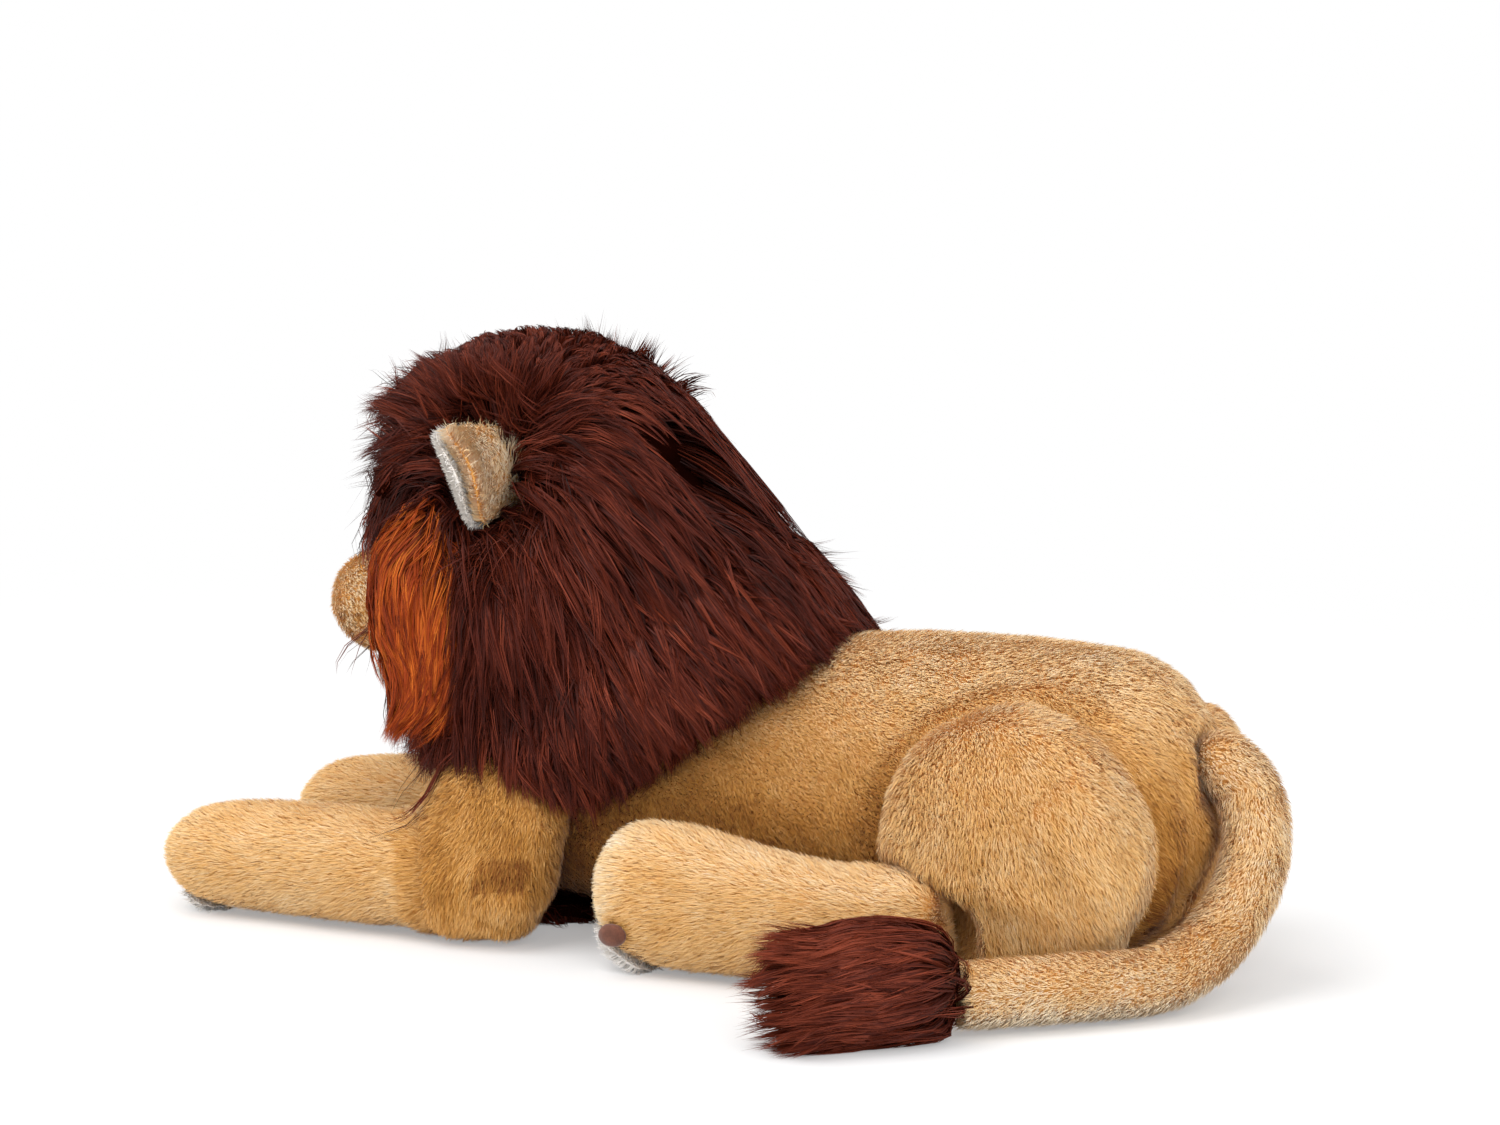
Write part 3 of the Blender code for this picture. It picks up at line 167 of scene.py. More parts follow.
class LionSizes(bpy.types.PropertyGroup):
    """Sizes of the pile and the stuffing"""

    golden_pile: length("Golden pile", "Length of the short pile on the body and legs", 0.0052)
    face_pile: length("Face pile", "Length of the shorn pile on the muzzle and face", 0.0042)
    white_pile: length("White pile", "Length of the pile on the chin, the ear linings and the soles", 0.0046)
    tuft_width: length("Tuft width", "Width of one tuft of short pile at its root", 0.00040)
    mane_pile: length("Mane pile", "Length of the long pile of the mane", 0.054)
    cheek_pile: length("Cheek pile", "Length of the rust pile beside the face", 0.046)
    strand_width: length("Strand width", "Width of one strand of long pile", 0.00052)
    swell: length("Swell", "How far the stuffing may push the fabric out", 0.0030)
    density: FloatProperty(
        name="Pile density", description="Tufts of short pile on a square millimetre", min=0.1, max=3,
        default=2.8,
    )


class LionColours(bpy.types.PropertyGroup):
    """Colours of the fabrics and trims"""

    # The darkest golden stop, which the painted shade low on the flank and in the deepest creases reaches
    flank: colour("Flank", "Darkest golden pile, low on the flank", "#824512")
    tan: colour("Tan", "Golden pile on the sides", "#D0923F")
    golden: colour("Golden", "Golden pile over most of the body", "#F2C078")
    light: colour("Light golden", "Golden pile on the back and the rims", "#FADAA6")
    cream: colour("Cream", "Palest pile, at the toes and under the tail", "#FFF3DC")
    mane_dark: colour("Mane shade", "Darkest locks of the mane", "#260A05")
    mane: colour("Mane", "Reddish brown of the mane", "#521B0E")
    mane_light: colour("Mane tips", "Lightest strands of the mane", "#8E4029")
    rust: colour("Rust", "Rust pile beside the face", "#A64012")
    rust_light: colour("Rust tips", "Lightest rust strands", "#E47C28")
    white: colour("White", "White pile of the chin, linings and soles", "#FBF7F2")
    suede: colour("Suede", "Brown suede of the nose and the toe patches", "#6B3F2E")
    amber: colour("Amber", "Iris of the eyes", "#9A5A1C")


# Meshes


def cad_form(names):
    """The triangles of CAD nodes as one set of points and faces, with shared corners merged."""
    points, faces, used = [], [], 0
    for name in names:
        mesh = frame["nodes"][name].data
        mesh.calc_loop_triangles()
        corner = np.empty(len(mesh.vertices) * 3)
        mesh.vertices.foreach_get("co", corner)
        face = np.empty(len(mesh.loop_triangles) * 3, np.int64)
        mesh.loop_triangles.foreach_get("vertices", face)
        points.append(corner.reshape(-1, 3))
        faces.append(face.reshape(-1, 3) + used)
        used += len(mesh.vertices)
    points, faces = np.concatenate(points), np.concatenate(faces)
    _, first, shared = np.unique(np.round(points, 6), axis=0, return_index=True, return_inverse=True)
    return points[first], shared.reshape(-1)[faces]


def cad_tree(names):
    """A search tree over CAD nodes."""
    points, faces = cad_form(names)
    return BVHTree.FromPolygons(points.tolist(), faces.tolist())


def polygon_object(name, points, faces):
    """A linked mesh object of these points and faces."""
    mesh = bpy.data.meshes.new(name)
    mesh.from_pydata(points.tolist(), [], faces.tolist())
    mesh.update()
    made = bpy.data.objects.new(name, mesh)
    bpy.context.scene.collection.objects.link(made)
    return made


def read_points(mesh):
    points = np.empty(len(mesh.vertices) * 3)
    mesh.vertices.foreach_get("co", points)
    return points.reshape(-1, 3)


def write_points(mesh, points):
    mesh.vertices.foreach_set("co", points.ravel())
    mesh.update()


def bake_modifiers(made):
    """Replaces an object's mesh by what its modifiers make of it."""
    made_mesh = bpy.data.meshes.new_from_object(
        made.evaluated_get(bpy.context.evaluated_depsgraph_get())
    )
    made.modifiers.clear()
    made.data = made_mesh


def edges_of(mesh):
    ends = np.empty(len(mesh.edges) * 2, np.int64)
    mesh.edges.foreach_get("vertices", ends)
    return ends.reshape(-1, 2)


def relax(points, edges, rounds, share=0.5):
    """Points moved towards the mean of their neighbours, a few rounds."""
    ends = np.concatenate([edges, edges[:, ::-1]])
    count = np.maximum(np.bincount(ends[:, 0], minlength=len(points)), 1)[:, None]
    for _ in range(rounds):
        mean = np.stack(
            [np.bincount(ends[:, 0], points[ends[:, 1], i], len(points)) for i in range(3)], axis=1
        ) / count
        points = points + share * (mean - points)
    return points


def vertex_normals(mesh):
    normals = np.empty(len(mesh.vertices) * 3)
    mesh.vertex_normals.foreach_get("vector", normals)
    return normals.reshape(-1, 3)


def keep_outside_shell(made):
    """Removes the closed shells that lie inside the largest one."""
    shape = bmesh.new()
    shape.from_mesh(made.data)
    left, shells = set(shape.verts), []
    while left:
        start = left.pop()
        shell, edge = {start}, [start]
        while edge:
            for link in edge.pop().link_edges:
                for end in link.verts:
                    if end in left:
                        left.discard(end)
                        shell.add(end)
                        edge.append(end)
        shells.append(shell)
    largest = max(shells, key=len)
    bmesh.ops.delete(shape, geom=[v for s in shells if s is not largest for v in s], context="VERTS")
    shape.to_mesh(made.data)
    shape.free()


def stuff(made, swell, held=None):
    """Swells a closed form by cloth simulation, as stuffing does, by no more than the given distance."""
    start = read_points(made.data)
    stuffing = made.modifiers.new("stuffing", "CLOTH")
    fabric = stuffing.settings
    fabric.quality = 4
    fabric.mass = 0.3
    fabric.tension_stiffness = fabric.compression_stiffness = 12
    fabric.bending_stiffness = 0.8
    fabric.use_pressure = True
    fabric.uniform_pressure_force = 4
    fabric.effector_weights.gravity = 0
    if held is not None and held.any():
        group = made.vertex_groups.new(name="seams")
        group.add(np.flatnonzero(held).tolist(), 1.0, "REPLACE")
        fabric.vertex_group_mass = "seams"
    for step in range(1, 21):
        bpy.context.scene.frame_set(step)
    shaped = made.evaluated_get(bpy.context.evaluated_depsgraph_get())
    moved = read_points(shaped.data) - start
    made.modifiers.clear()
    made.vertex_groups.clear()
    bpy.context.scene.frame_set(1)
    far = np.linalg.norm(moved, axis=1, keepdims=True)
    write_points(made.data, start + moved * np.minimum(1.0, swell / np.maximum(far, 1e-9)))


def stuffed_form(name, nodes, voxel, inset, swell, seams=(), rounds=3, deeper=None):
    """One stuffed fabric form over its CAD nodes, smoothed, swollen and drawn in along its seams."""
    made = polygon_object(name, *cad_form(nodes))
    remesh = made.modifiers.new("fabric", "REMESH")
    remesh.mode = "VOXEL"
    remesh.voxel_size = voxel
    bake_modifiers(made)
    keep_outside_shell(made)
    edges = edges_of(made.data)
    write_points(made.data, relax(read_points(made.data), edges, rounds))
    points, normals = read_points(made.data), vertex_normals(made.data)
    depth = inset + (0 if deeper is None else deeper(points, normals))
    write_points(made.data, points - normals * np.broadcast_to(depth, len(points))[:, None])
    near = seam_nearness(points, seams, 1.2 * voxel)
    if swell:
        stuff(made, swell, near > 0.5)
    write_points(made.data, relax(read_points(made.data), edges, 2, 0.35))
    finer = made.modifiers.new("finer", "SUBSURF")
    finer.levels = finer.render_levels = 1
    bake_modifiers(made)
    if len(seams):
        points, normals = read_points(made.data), vertex_normals(made.data)
        depth = 2.2 * MILLIMETRE * seam_nearness(points, seams, 3.5 * MILLIMETRE, inset)
        write_points(made.data, points - normals * depth[:, None])
    points = read_points(made.data)
    points[:, 2] = np.maximum(points[:, 2], 0.4 * MILLIMETRE)
    write_points(made.data, points)
    made.data.polygons.foreach_set("use_smooth", np.ones(len(made.data.polygons), bool))
    return made


def filled_towards(nodes, reach=0.012):
    """Brings a form back out to its full size beside these CAD nodes, so that no gap shows at the seam."""
    near = near_nodes(nodes, reach)
    return lambda points, normals: -0.8 * LIMB_INSET * near(points)


def segment_distance(points, route):
    """Distance from each point to a line of straight stretches."""
    nearest = np.full(len(points), np.inf)
    for a, b in zip(route[:-1], route[1:]):
        along = b - a
        share = np.clip((points - a) @ along / max(along @ along, 1e-12), 0, 1)
        nearest = np.minimum(nearest, np.linalg.norm(points - a - share[:, None] * along, axis=1))
    return nearest


def seam_nearness(points, seams, width, below=0.0):
    """1 on a seam and 0 beyond its width, for points on a surface that lies below the seam's line."""
    near = np.zeros(len(points))
    for route in seams:
        far = segment_distance(points, np.asarray(route, float))
        aside = np.sqrt(np.maximum(far ** 2 - below ** 2, 0))
        near = np.maximum(near, 1 - np.clip(aside / width, 0, 1))
    return near * near * (3 - 2 * near)


def near_nodes(nodes, reach=0.012, touch=0.002):
    """A function that is 1 beside these CAD nodes and falls to 0 at the given reach."""
    tree = cad_tree(nodes)
    return lambda points: smooth_step(reach, touch, signed_depth(tree, points)[0])


def smooth_step(low, high, value):
    share = np.clip((value - low) / (high - low), 0, 1)
    return share * share * (3 - 2 * share)


def ripple(points, size, seed):
    """A smooth pattern from -1 to 1 that changes over about the given size."""
    rng = np.random.default_rng(seed)
    total = np.zeros(len(points))
    for _ in range(7):
        way = rng.normal(size=3)
        way *= rng.uniform(0.7, 1.6) / (np.linalg.norm(way) * size)
        total += np.sin(2 * np.pi * (points @ way) / 2 + rng.uniform(0, 2 * np.pi))
    return total / 4


def unit(vectors):
    return vectors / np.maximum(np.linalg.norm(vectors, axis=-1, keepdims=True), 1e-9)


class Cloth:
    """The triangles of a made form, from which pile is grown."""

    def __init__(self, made):
        mesh = made.data
        mesh.calc_loop_triangles()
        self.points = read_points(mesh)
        self.normals = vertex_normals(mesh)
        faces = np.empty(len(mesh.loop_triangles) * 3, np.int64)
        mesh.loop_triangles.foreach_get("vertices", faces)
        self.faces = faces.reshape(-1, 3)
        corners = self.points[self.faces]
        spans = np.cross(corners[:, 1] - corners[:, 0], corners[:, 2] - corners[:, 0])
        self.areas = np.linalg.norm(spans, axis=1) / 2
        self.middles = corners.mean(axis=1)
        self.ways = unit(self.normals[self.faces].mean(axis=1))
        self.bare = np.zeros(len(self.faces), bool)

    def cover(self, nodes, reach, margin=0.0):
        """Marks as bare the faces that, moved out by reach, lie deeper in these CAD nodes than the margin."""
        for node in nodes:
            low, high = (np.array(corner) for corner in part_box(node))
            probes = self.middles + self.ways * reach
            inside = np.flatnonzero(((probes > low) & (probes < high)).all(axis=1) & ~self.bare)
            if len(inside):
                depth, _ = signed_depth(cad_tree([node]), probes[inside])
                self.bare[inside[depth < -margin]] = True

    def roots(self, count, rng, weight=None):
        """Random points on the cloth that isn't bare, with their normals."""
        share = self.areas * ~self.bare
        if weight is not None:
            share = share * weight(self.middles, self.ways)
        face = rng.choice(len(share), size=count, p=share / share.sum())
        a, b = rng.random(count), rng.random(count)
        flip = a + b > 1
        a[flip], b[flip] = 1 - a[flip], 1 - b[flip]
        shares = np.stack([1 - a - b, a, b], axis=1)[:, :, None]
        return (
            (self.points[self.faces[face]] * shares).sum(axis=1),
            unit((self.normals[self.faces[face]] * shares).sum(axis=1)),
        )

    def open_area(self):
        return float((self.areas * ~self.bare).sum())


def signed_depth(tree, points):
    """Distance from a closed form, negative inside it, and the form's nearest outward direction."""
    far, ways = np.empty(len(points)), np.empty((len(points), 3))
    for i, point in enumerate(points.tolist()):
        place, way, _, distance = tree.find_nearest(point)
        ahead = (point[0] - place[0]) * way[0] + (point[1] - place[1]) * way[1]
        ahead += (point[2] - place[2]) * way[2]
        far[i] = -distance if ahead < 0 else distance
        ways[i] = way
    return far, ways


def depth_in(tree):
    """How far points are outside a search tree's form, as a function."""
    return lambda points: signed_depth(tree, points)


def hull_tree(nodes, behind):
    """A search tree over the tight skin round what lies behind a plane of some CAD nodes."""
    points, _ = cad_form(nodes)
    shape = bmesh.new()
    for point in points[points[:, 0] > behind].tolist():
        shape.verts.new(point)
    bmesh.ops.convex_hull(shape, input=shape.verts[:])
    bmesh.ops.recalc_face_normals(shape, faces=shape.faces[:])
    tree = BVHTree.FromBMesh(shape)
    shape.free()
    return tree


def joined_depth(nodes, rim):
    """Distance outside some CAD nodes, whose valleys count as filled behind a plane across the head."""
    solids, hull = cad_tree(nodes), hull_tree(nodes, rim - HULL_LAP)

    def depth(points):
        far, out = signed_depth(solids, points)
        far_hull, out_hull = signed_depth(hull, points)
        share = smooth_step(rim, rim + HULL_LAP, points[:, 0])
        return far + (far_hull - far) * share, unit(out + (out_hull - out) * share[:, None])

    return depth


def sink(made, envelope, depth):
    """Draws a backing in until it lies at least this deep under the hair's surface."""
    points = read_points(made.data)
    far, out = envelope(points)
    write_points(made.data, points - out * np.maximum(far + depth, 0)[:, None])


def tuft_mesh(name, rows, sides, widths, taper, tones, material, shading=None):
    """Tapering tufts, given as tufts by rows by 3, in as many mesh pieces as the face limit asks for."""
    count, steps = rows.shape[:2]
    most = MOST_FACES // (2 * (steps - 2) + 1)
    pieces = []
    parts = max(1, math.ceil(count / most))
    order = np.argsort(rows[:, 0, 1], kind="stable")
    for part, chosen in enumerate(np.array_split(order, parts)):
        pieces.append(tuft_piece(
            f"{name}_{part + 1}" if parts > 1 else name, rows[chosen], sides[chosen], widths[chosen],
            taper, tones[chosen], material, None if shading is None else shading[chosen],
        ))
    return pieces


def tuft_piece(name, rows, sides, widths, taper, tones, material, shading):
    """One mesh of flat tufts, each a strip of quads that ends in a triangle."""
    count, steps = rows.shape[:2]
    pairs = steps - 1
    half = 0.5 * widths[:, None, None] * np.asarray(taper)[None, :, None] * sides[:, :pairs]
    points = np.concatenate([rows[:, :pairs] - half, rows[:, :pairs] + half, rows[:, pairs:]], axis=1)
    size = 2 * pairs + 1
    pattern = []
    for i in range(pairs - 1):
        pattern += [i, pairs + i, pairs + i + 1, i + 1]
    pattern += [pairs - 1, 2 * pairs - 1, 2 * pairs]
    starts = [4 * i for i in range(pairs)]
    loops = (np.array(pattern)[None] + size * np.arange(count)[:, None]).ravel()
    loop_starts = (np.array(starts)[None] + len(pattern) * np.arange(count)[:, None]).ravel()
    mesh = bpy.data.meshes.new(name)
    mesh.vertices.add(count * size)
    mesh.vertices.foreach_set("co", points.ravel())
    mesh.loops.add(len(loops))
    mesh.loops.foreach_set("vertex_index", loops.astype(np.int32))
    mesh.polygons.add(len(loop_starts))
    mesh.polygons.foreach_set("loop_start", loop_starts.astype(np.int32))
    mesh.polygons.foreach_set("use_smooth", np.ones(len(loop_starts), bool))
    mesh.update(calc_edges=True)
    # Every corner carries the tuft's tone and its place along it, and the colour comes from those two alone
    edge = 0.006
    tone = np.clip(tones, 0.02, 0.98)[:, None]
    tone = np.concatenate([np.repeat(tone - edge, pairs, 1), np.repeat(tone + edge, pairs, 1), tone], axis=1)
    along = 0.02 + 0.96 * np.arange(steps) / (steps - 1)
    along = np.broadcast_to(np.concatenate([along[:pairs], along[:pairs], along[pairs:]]), tone.shape)
    for label, values in (("pile_tone", tone), ("pile_along", along)):
        held = mesh.attributes.new(label, "FLOAT", "POINT")
        held.data.foreach_set("value", values.ravel().astype(np.float32))
    layer = mesh.uv_layers.new(name="OFBake")
    corners = np.stack([tone.ravel()[loops], along.ravel()[loops]], axis=1)
    layer.data.foreach_set("uv", corners.ravel().astype(np.float32))
    if shading is not None:
        normals = np.repeat(shading, size, axis=0).astype(np.float32)
        held = mesh.attributes.new("custom_normal", "FLOAT_VECTOR", "POINT")
        held.data.foreach_set("vector", normals.ravel())
    mesh.materials.append(material)
    made = bpy.data.objects.new(name, mesh)
    bpy.context.scene.collection.objects.link(made)
    return made


def short_pile(
    name, cloth, body, slot, material, flow, tone, pile, width, density, seed, lean=46, weight=None, trim=None,
):
    """Short pile combed along a flow over a form, leaning by so many degrees from it."""
    spread, swirl_share, fine_swirl_share = 0.18, 0.22, 0.15
    swirl_width, fine_swirl_width, lean_width = 16 * MILLIMETRE, 5 * MILLIMETRE, 9 * MILLIMETRE
    lean_spread, lean_ripple, lengths, widths = 9, 6, (0.72, 1.12), (0.8, 1.2)
    root_depth, floor_gap, most_twist, tone_spread = 0.6 * MILLIMETRE, 0.3 * MILLIMETRE, 0.9, 0.075
    lower_share, lower_lean, upper_share, upper_lean = 0.48, 1.35, 0.52, 0.45
    shading_lean, shading_spread, taper = 0.25, 0.12, (1.0, 0.72)
    rng = np.random.default_rng(seed)
    count = int(cloth.open_area() / MILLIMETRE**2 * density)
    roots, normals = cloth.roots(count, rng, weight)
    comb = flow(roots, normals)
    comb = comb - normals * (comb * normals).sum(axis=1, keepdims=True)
    comb = unit(unit(comb) + rng.normal(scale=spread, size=comb.shape))
    comb = unit(comb - normals * (comb * normals).sum(axis=1, keepdims=True))
    across = np.cross(comb, normals)
    swirl = swirl_share * ripple(roots, swirl_width, seed + 7)
    swirl = swirl + fine_swirl_share * ripple(roots, fine_swirl_width, seed + 8)
    comb = unit(comb + across * swirl[:, None])
    uneven = rng.normal(scale=lean_spread, size=count)
    angle = np.radians(lean + uneven + lean_ripple * ripple(roots, lean_width, seed + 9))
    reach = pile * rng.uniform(*lengths, count)
    if trim is not None:
        reach = reach * trim(roots, normals)

    def rise(share):
        return comb * np.cos(angle * share)[:, None] + normals * np.sin(angle * share)[:, None]

    middle = roots + rise(lower_lean) * (lower_share * reach)[:, None]
    tip = middle + rise(upper_lean) * (upper_share * reach)[:, None]
    rows = np.stack([roots - normals * root_depth, middle, tip], axis=1)
    rows[:, :, 2] = np.maximum(rows[:, :, 2], floor_gap)
    side = unit(np.cross(rise(1.0), normals))
    twist = rng.uniform(-most_twist, most_twist, count)[:, None]
    side = side * np.cos(twist) + np.cross(rise(1.0), side) * np.sin(twist)
    sides = np.repeat(side[:, None], 3, axis=1)
    tones = tone(roots, normals) + rng.normal(scale=tone_spread, size=count)
    shading = unit(normals - shading_lean * comb + rng.normal(scale=shading_spread, size=comb.shape))
    wide = width * rng.uniform(*widths, count)
    pieces = tuft_mesh(name, rows, sides, wide, taper, tones, material, shading)
    for piece in pieces:
        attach(piece, body)
    return pieces


def long_pile(
    name, cloth, body, slot, material, envelope, flow, tone, pile, width, count, seed, lift=0.8, proud=None,
    weight=None, gather=0.7, overhang=0.009, avoid=(), inset=0.008, stretch=None,
):
    """Long pile from a backing that bends along a flow, gathers into locks and stays near its CAD envelope."""
    steps, strands_a_lock, least_locks, lock_lengths, strand_lengths = 6, 12, 8, (0.75, 1.1), (0.7, 1.08)
    lock_spread, strand_spread, upright_cut, far_share, shortest_share = 0.16, 0.05, 0.42, 0.55, 0.3
    close, tip_depth, depth_power, rise_share = 1.0 * MILLIMETRE, 1.5 * MILLIMETRE, 1.3, 0.7
    most_pull, ragged_power, floor_gap, side_spread = 0.85, 0.8, 0.5 * MILLIMETRE, 0.6
    lock_tone_spread, strand_tone_spread, widths, taper = 0.11, 0.13, (0.75, 1.25), (0.8, 1.0, 0.9, 0.65, 0.3)
    rng = np.random.default_rng(seed)
    roots, normals = cloth.roots(count, rng, weight)
    lock_count = max(least_locks, count // strands_a_lock)
    leaders = rng.choice(count, lock_count, replace=False)
    finder = KDTree(lock_count)
    for i, leader in enumerate(leaders):
        finder.insert(roots[leader], i)
    finder.balance()
    lock = np.array([finder.find(root)[1] for root in roots.tolist()])
    lock_turn = rng.normal(scale=lock_spread, size=(lock_count, 3))[lock]
    reach = pile * rng.uniform(*lock_lengths, lock_count)[lock] * rng.uniform(*strand_lengths, count)
    if stretch is not None:
        reach = reach * stretch(roots)
    allowed = np.full(count, close) if proud is None else proud(roots, normals)
    upright = smooth_step(0.45, 0.95, (unit(flow(roots, normals)) * normals).sum(axis=1))
    reach = reach * (1 - upright_cut * upright)
    place, rows = roots.copy(), [roots.copy()]
    for step in range(steps - 1):
        share = step / (steps - 2)
        way = unit(flow(place, normals))
        inward = np.minimum((way * normals).sum(axis=1, keepdims=True), 0) * (1 - share)
        way = way - inward * normals + normals * (lift * (1 - share) ** 1.5) + lock_turn
        way = unit(way + rng.normal(scale=strand_spread, size=way.shape))
        ahead = place + way * (reach / (steps - 1))[:, None]
        far, out = envelope(ahead)
        across = smooth_step(0.75, 0.35, (unit(flow(ahead, normals)) * out).sum(axis=1) - 0.5 * upright)
        deepest = -tip_depth - inset * (1 - (step + 1) / (steps - 1)) ** depth_power
        raised = np.maximum(deepest - far, 0) * rise_share
        place = ahead + out * (raised - np.maximum(far - allowed, 0) * across)[:, None]
        rows.append(place.copy())
    rows = np.stack(rows, axis=1)
    lead = rows[leaders][lock]
    share = np.linspace(0, 1, steps)[None, :, None]
    apart = (roots - lead[:, 0])[:, None] * (1 - gather * share)
    pull = most_pull * smooth_step(0.1, 0.9, share)
    rows = rows * (1 - pull) + (lead + apart) * pull
    for _ in range(2):
        rows[:, 1:-1] = 0.5 * rows[:, 1:-1] + 0.25 * (rows[:, :-2] + rows[:, 2:])
    far, _ = envelope(rows[:, -1])
    kept = far < far_share * reach
    for room, margin in avoid:
        for step in range(2, steps):
            kept &= room(rows[:, step]) > margin
    rows, roots, normals, lock = rows[kept], roots[kept], normals[kept], lock[kept]
    reach, far = reach[kept], far[kept]
    count = len(roots)
    ragged = overhang * rng.uniform(0.1, 1.0, count) ** ragged_power
    shorten = np.clip(1 - np.maximum(far - ragged, 0) / reach, shortest_share, 1)[:, None, None]
    rows = rows[:, :1] + (rows - rows[:, :1]) * shorten
    rows[:, :, 2] = np.maximum(rows[:, :, 2], floor_gap)
    heading = unit(np.gradient(rows, axis=1))
    side = unit(np.cross(heading, normals[:, None] + side_spread * rng.normal(size=(count, 1, 3))))
    tones = tone(roots, normals) + rng.normal(scale=lock_tone_spread, size=lock_count)[lock]
    tones = tones + rng.normal(scale=strand_tone_spread, size=count)
    pieces = tuft_mesh(name, rows, side, width * rng.uniform(*widths, count), taper, tones, material)
    for piece in pieces:
        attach(piece, body)
    return pieces


# Materials


def node(tree, kind, settings=None, links=None):
    """Adds one shader node, its properties, sockets or ramp stops set by name and its links as (node, output)."""
    made = tree.nodes.new(kind)
    for key, value in (settings or {}).items():
        if key == "stops":
            while len(made.color_ramp.elements) < len(value):
                made.color_ramp.elements.new(0.5)
            for element, (place, shade) in zip(made.color_ramp.elements, value):
                element.position, element.color = place, shade
        elif key in made.inputs:
            made.inputs[key].default_value = value
        else:
            setattr(made, key, value)
    for key, (source, output) in (links or {}).items():
        tree.links.new(source.outputs[output], made.inputs[key])
    return made


def new_material(name):
    """An empty node material."""
    made = bpy.data.materials.new(name)
    made.use_nodes = True
    made.node_tree.nodes.clear()
    return made


def darker(shade, share, warmth=0.0):
    """A colour scaled by a share, with its red up and its blue down by the warmth."""
    return (shade[0] * share * (1 + warmth), shade[1] * share, shade[2] * share * (1 - warmth), 1.0)


def pile_material(name, tips, root_share, roughness, sheen, gloss=0.25, warmth=0.12, root_reach=0.75):
    """Cut pile: the colour runs from a shaded root to the tip, and its tone differs from tuft to tuft."""
    made = new_material(name)
    tree = made.node_tree
    tone = node(tree, "ShaderNodeAttribute", {"attribute_name": "pile_tone"})
    along = node(tree, "ShaderNodeAttribute", {"attribute_name": "pile_along"})
    tip = node(tree, "ShaderNodeValToRGB", {"stops": tips}, {"Fac": (tone, "Fac")})
    root = node(
        tree, "ShaderNodeValToRGB",
        {"stops": [(place, darker(shade, root_share, warmth)) for place, shade in tips]},
        {"Fac": (tone, "Fac")},
    )
    reach = node(
        tree, "ShaderNodeMapRange",
        {"interpolation_type": "SMOOTHSTEP", "From Min": 0.0, "From Max": root_reach},
        {"Value": (along, "Fac")},
    )
    mixed = node(
        tree, "ShaderNodeMix", {"data_type": "RGBA"},
        {"Factor": (reach, "Result")},
    )
    tree.links.new(root.outputs["Color"], mixed.inputs[6])
    tree.links.new(tip.outputs["Color"], mixed.inputs[7])
    shader = node(
        tree, "ShaderNodeBsdfPrincipled",
        {
            "Roughness": roughness, "IOR": 1.5, "Specular IOR Level": gloss, "Sheen Weight": sheen,
            "Sheen Roughness": 0.5,
        },
    )
    tree.links.new(mixed.outputs[2], shader.inputs["Base Color"])
    node(tree, "ShaderNodeOutputMaterial", None, {"Surface": (shader, "BSDF")})
    return made


def backing_material(name, dark, light, grain=0.0012, gloss=0.2):
    """Knitted polyester backing with the roots of the pile in it: a fine mottled grain between the tufts."""
    made = new_material(name)
    tree = made.node_tree
    place = node(tree, "ShaderNodeTexCoord")
    fine = node(
        tree, "ShaderNodeTexNoise", {"Scale": 1 / grain, "Detail": 3.0, "Roughness": 0.6},
        {"Vector": (place, "Object")},
    )
    broad = node(tree, "ShaderNodeTexNoise", {"Scale": 40.0, "Detail": 2.0}, {"Vector": (place, "Object")})
    shade = node(tree, "ShaderNodeMix", {"data_type": "RGBA"}, {"Factor": (fine, "Fac")})
    shade.inputs[6].default_value, shade.inputs[7].default_value = dark, light
    patch = node(
        tree, "ShaderNodeMapRange", {"From Min": 0.3, "From Max": 0.7, "To Min": 0.85, "To Max": 1.1},
        {"Value": (broad, "Fac")},
    )
    tinted = node(tree, "ShaderNodeVectorMath", {"operation": "SCALE"}, {"Scale": (patch, "Result")})
    tree.links.new(shade.outputs[2], tinted.inputs[0])
    raised = node(tree, "ShaderNodeBump", {"Strength": 0.5, "Distance": 0.0005}, {"Height": (fine, "Fac")})
    shader = node(
        tree, "ShaderNodeBsdfPrincipled", {"Roughness": 0.9, "Specular IOR Level": gloss},
        {"Base Color": (tinted, "Vector"), "Normal": (raised, "Normal")},
    )
    node(tree, "ShaderNodeOutputMaterial", None, {"Surface": (shader, "BSDF")})
    return made


def suede_material(name, shade):
    """Brushed polyester suede: a short nap, its colour lighter and darker in fine patches, a painted sheen where
    the rubbed nap catches light.
    """
    made = new_material(name)
    tree = made.node_tree
    place = node(tree, "ShaderNodeTexCoord")
    nap = node(
        tree, "ShaderNodeTexNoise", {"Scale": 1800.0, "Detail": 4.0, "Roughness": 0.65},
        {"Vector": (place, "Object")},
    )
    rubbed_sheen = node(tree, "ShaderNodeTexNoise", {"Scale": 260.0, "Detail": 2.0}, {"Vector": (place, "Object")})
    both = node(tree, "ShaderNodeMath", {"operation": "MULTIPLY"}, {"Value": (nap, "Fac")})
    tree.links.new(rubbed_sheen.outputs["Fac"], both.inputs[1])
    # Painted sheen: the nap's patches lighten and darken the suede colour.
    stops = [(0.12, darker(shade, 0.62)), (0.45, darker(shade, 1.3))]
    tint = node(tree, "ShaderNodeValToRGB", {"stops": stops}, {"Fac": (both, "Value")})
    raised = node(tree, "ShaderNodeBump", {"Strength": 0.35, "Distance": 0.0003}, {"Height": (nap, "Fac")})
    shader = node(
        tree, "ShaderNodeBsdfPrincipled",
        {"Roughness": 0.8, "Specular IOR Level": 0.25, "Sheen Weight": 0.4},
        {"Base Color": (tint, "Color"), "Normal": (raised, "Normal")},
    )
    node(tree, "ShaderNodeOutputMaterial", None, {"Surface": (shader, "BSDF")})
    return made


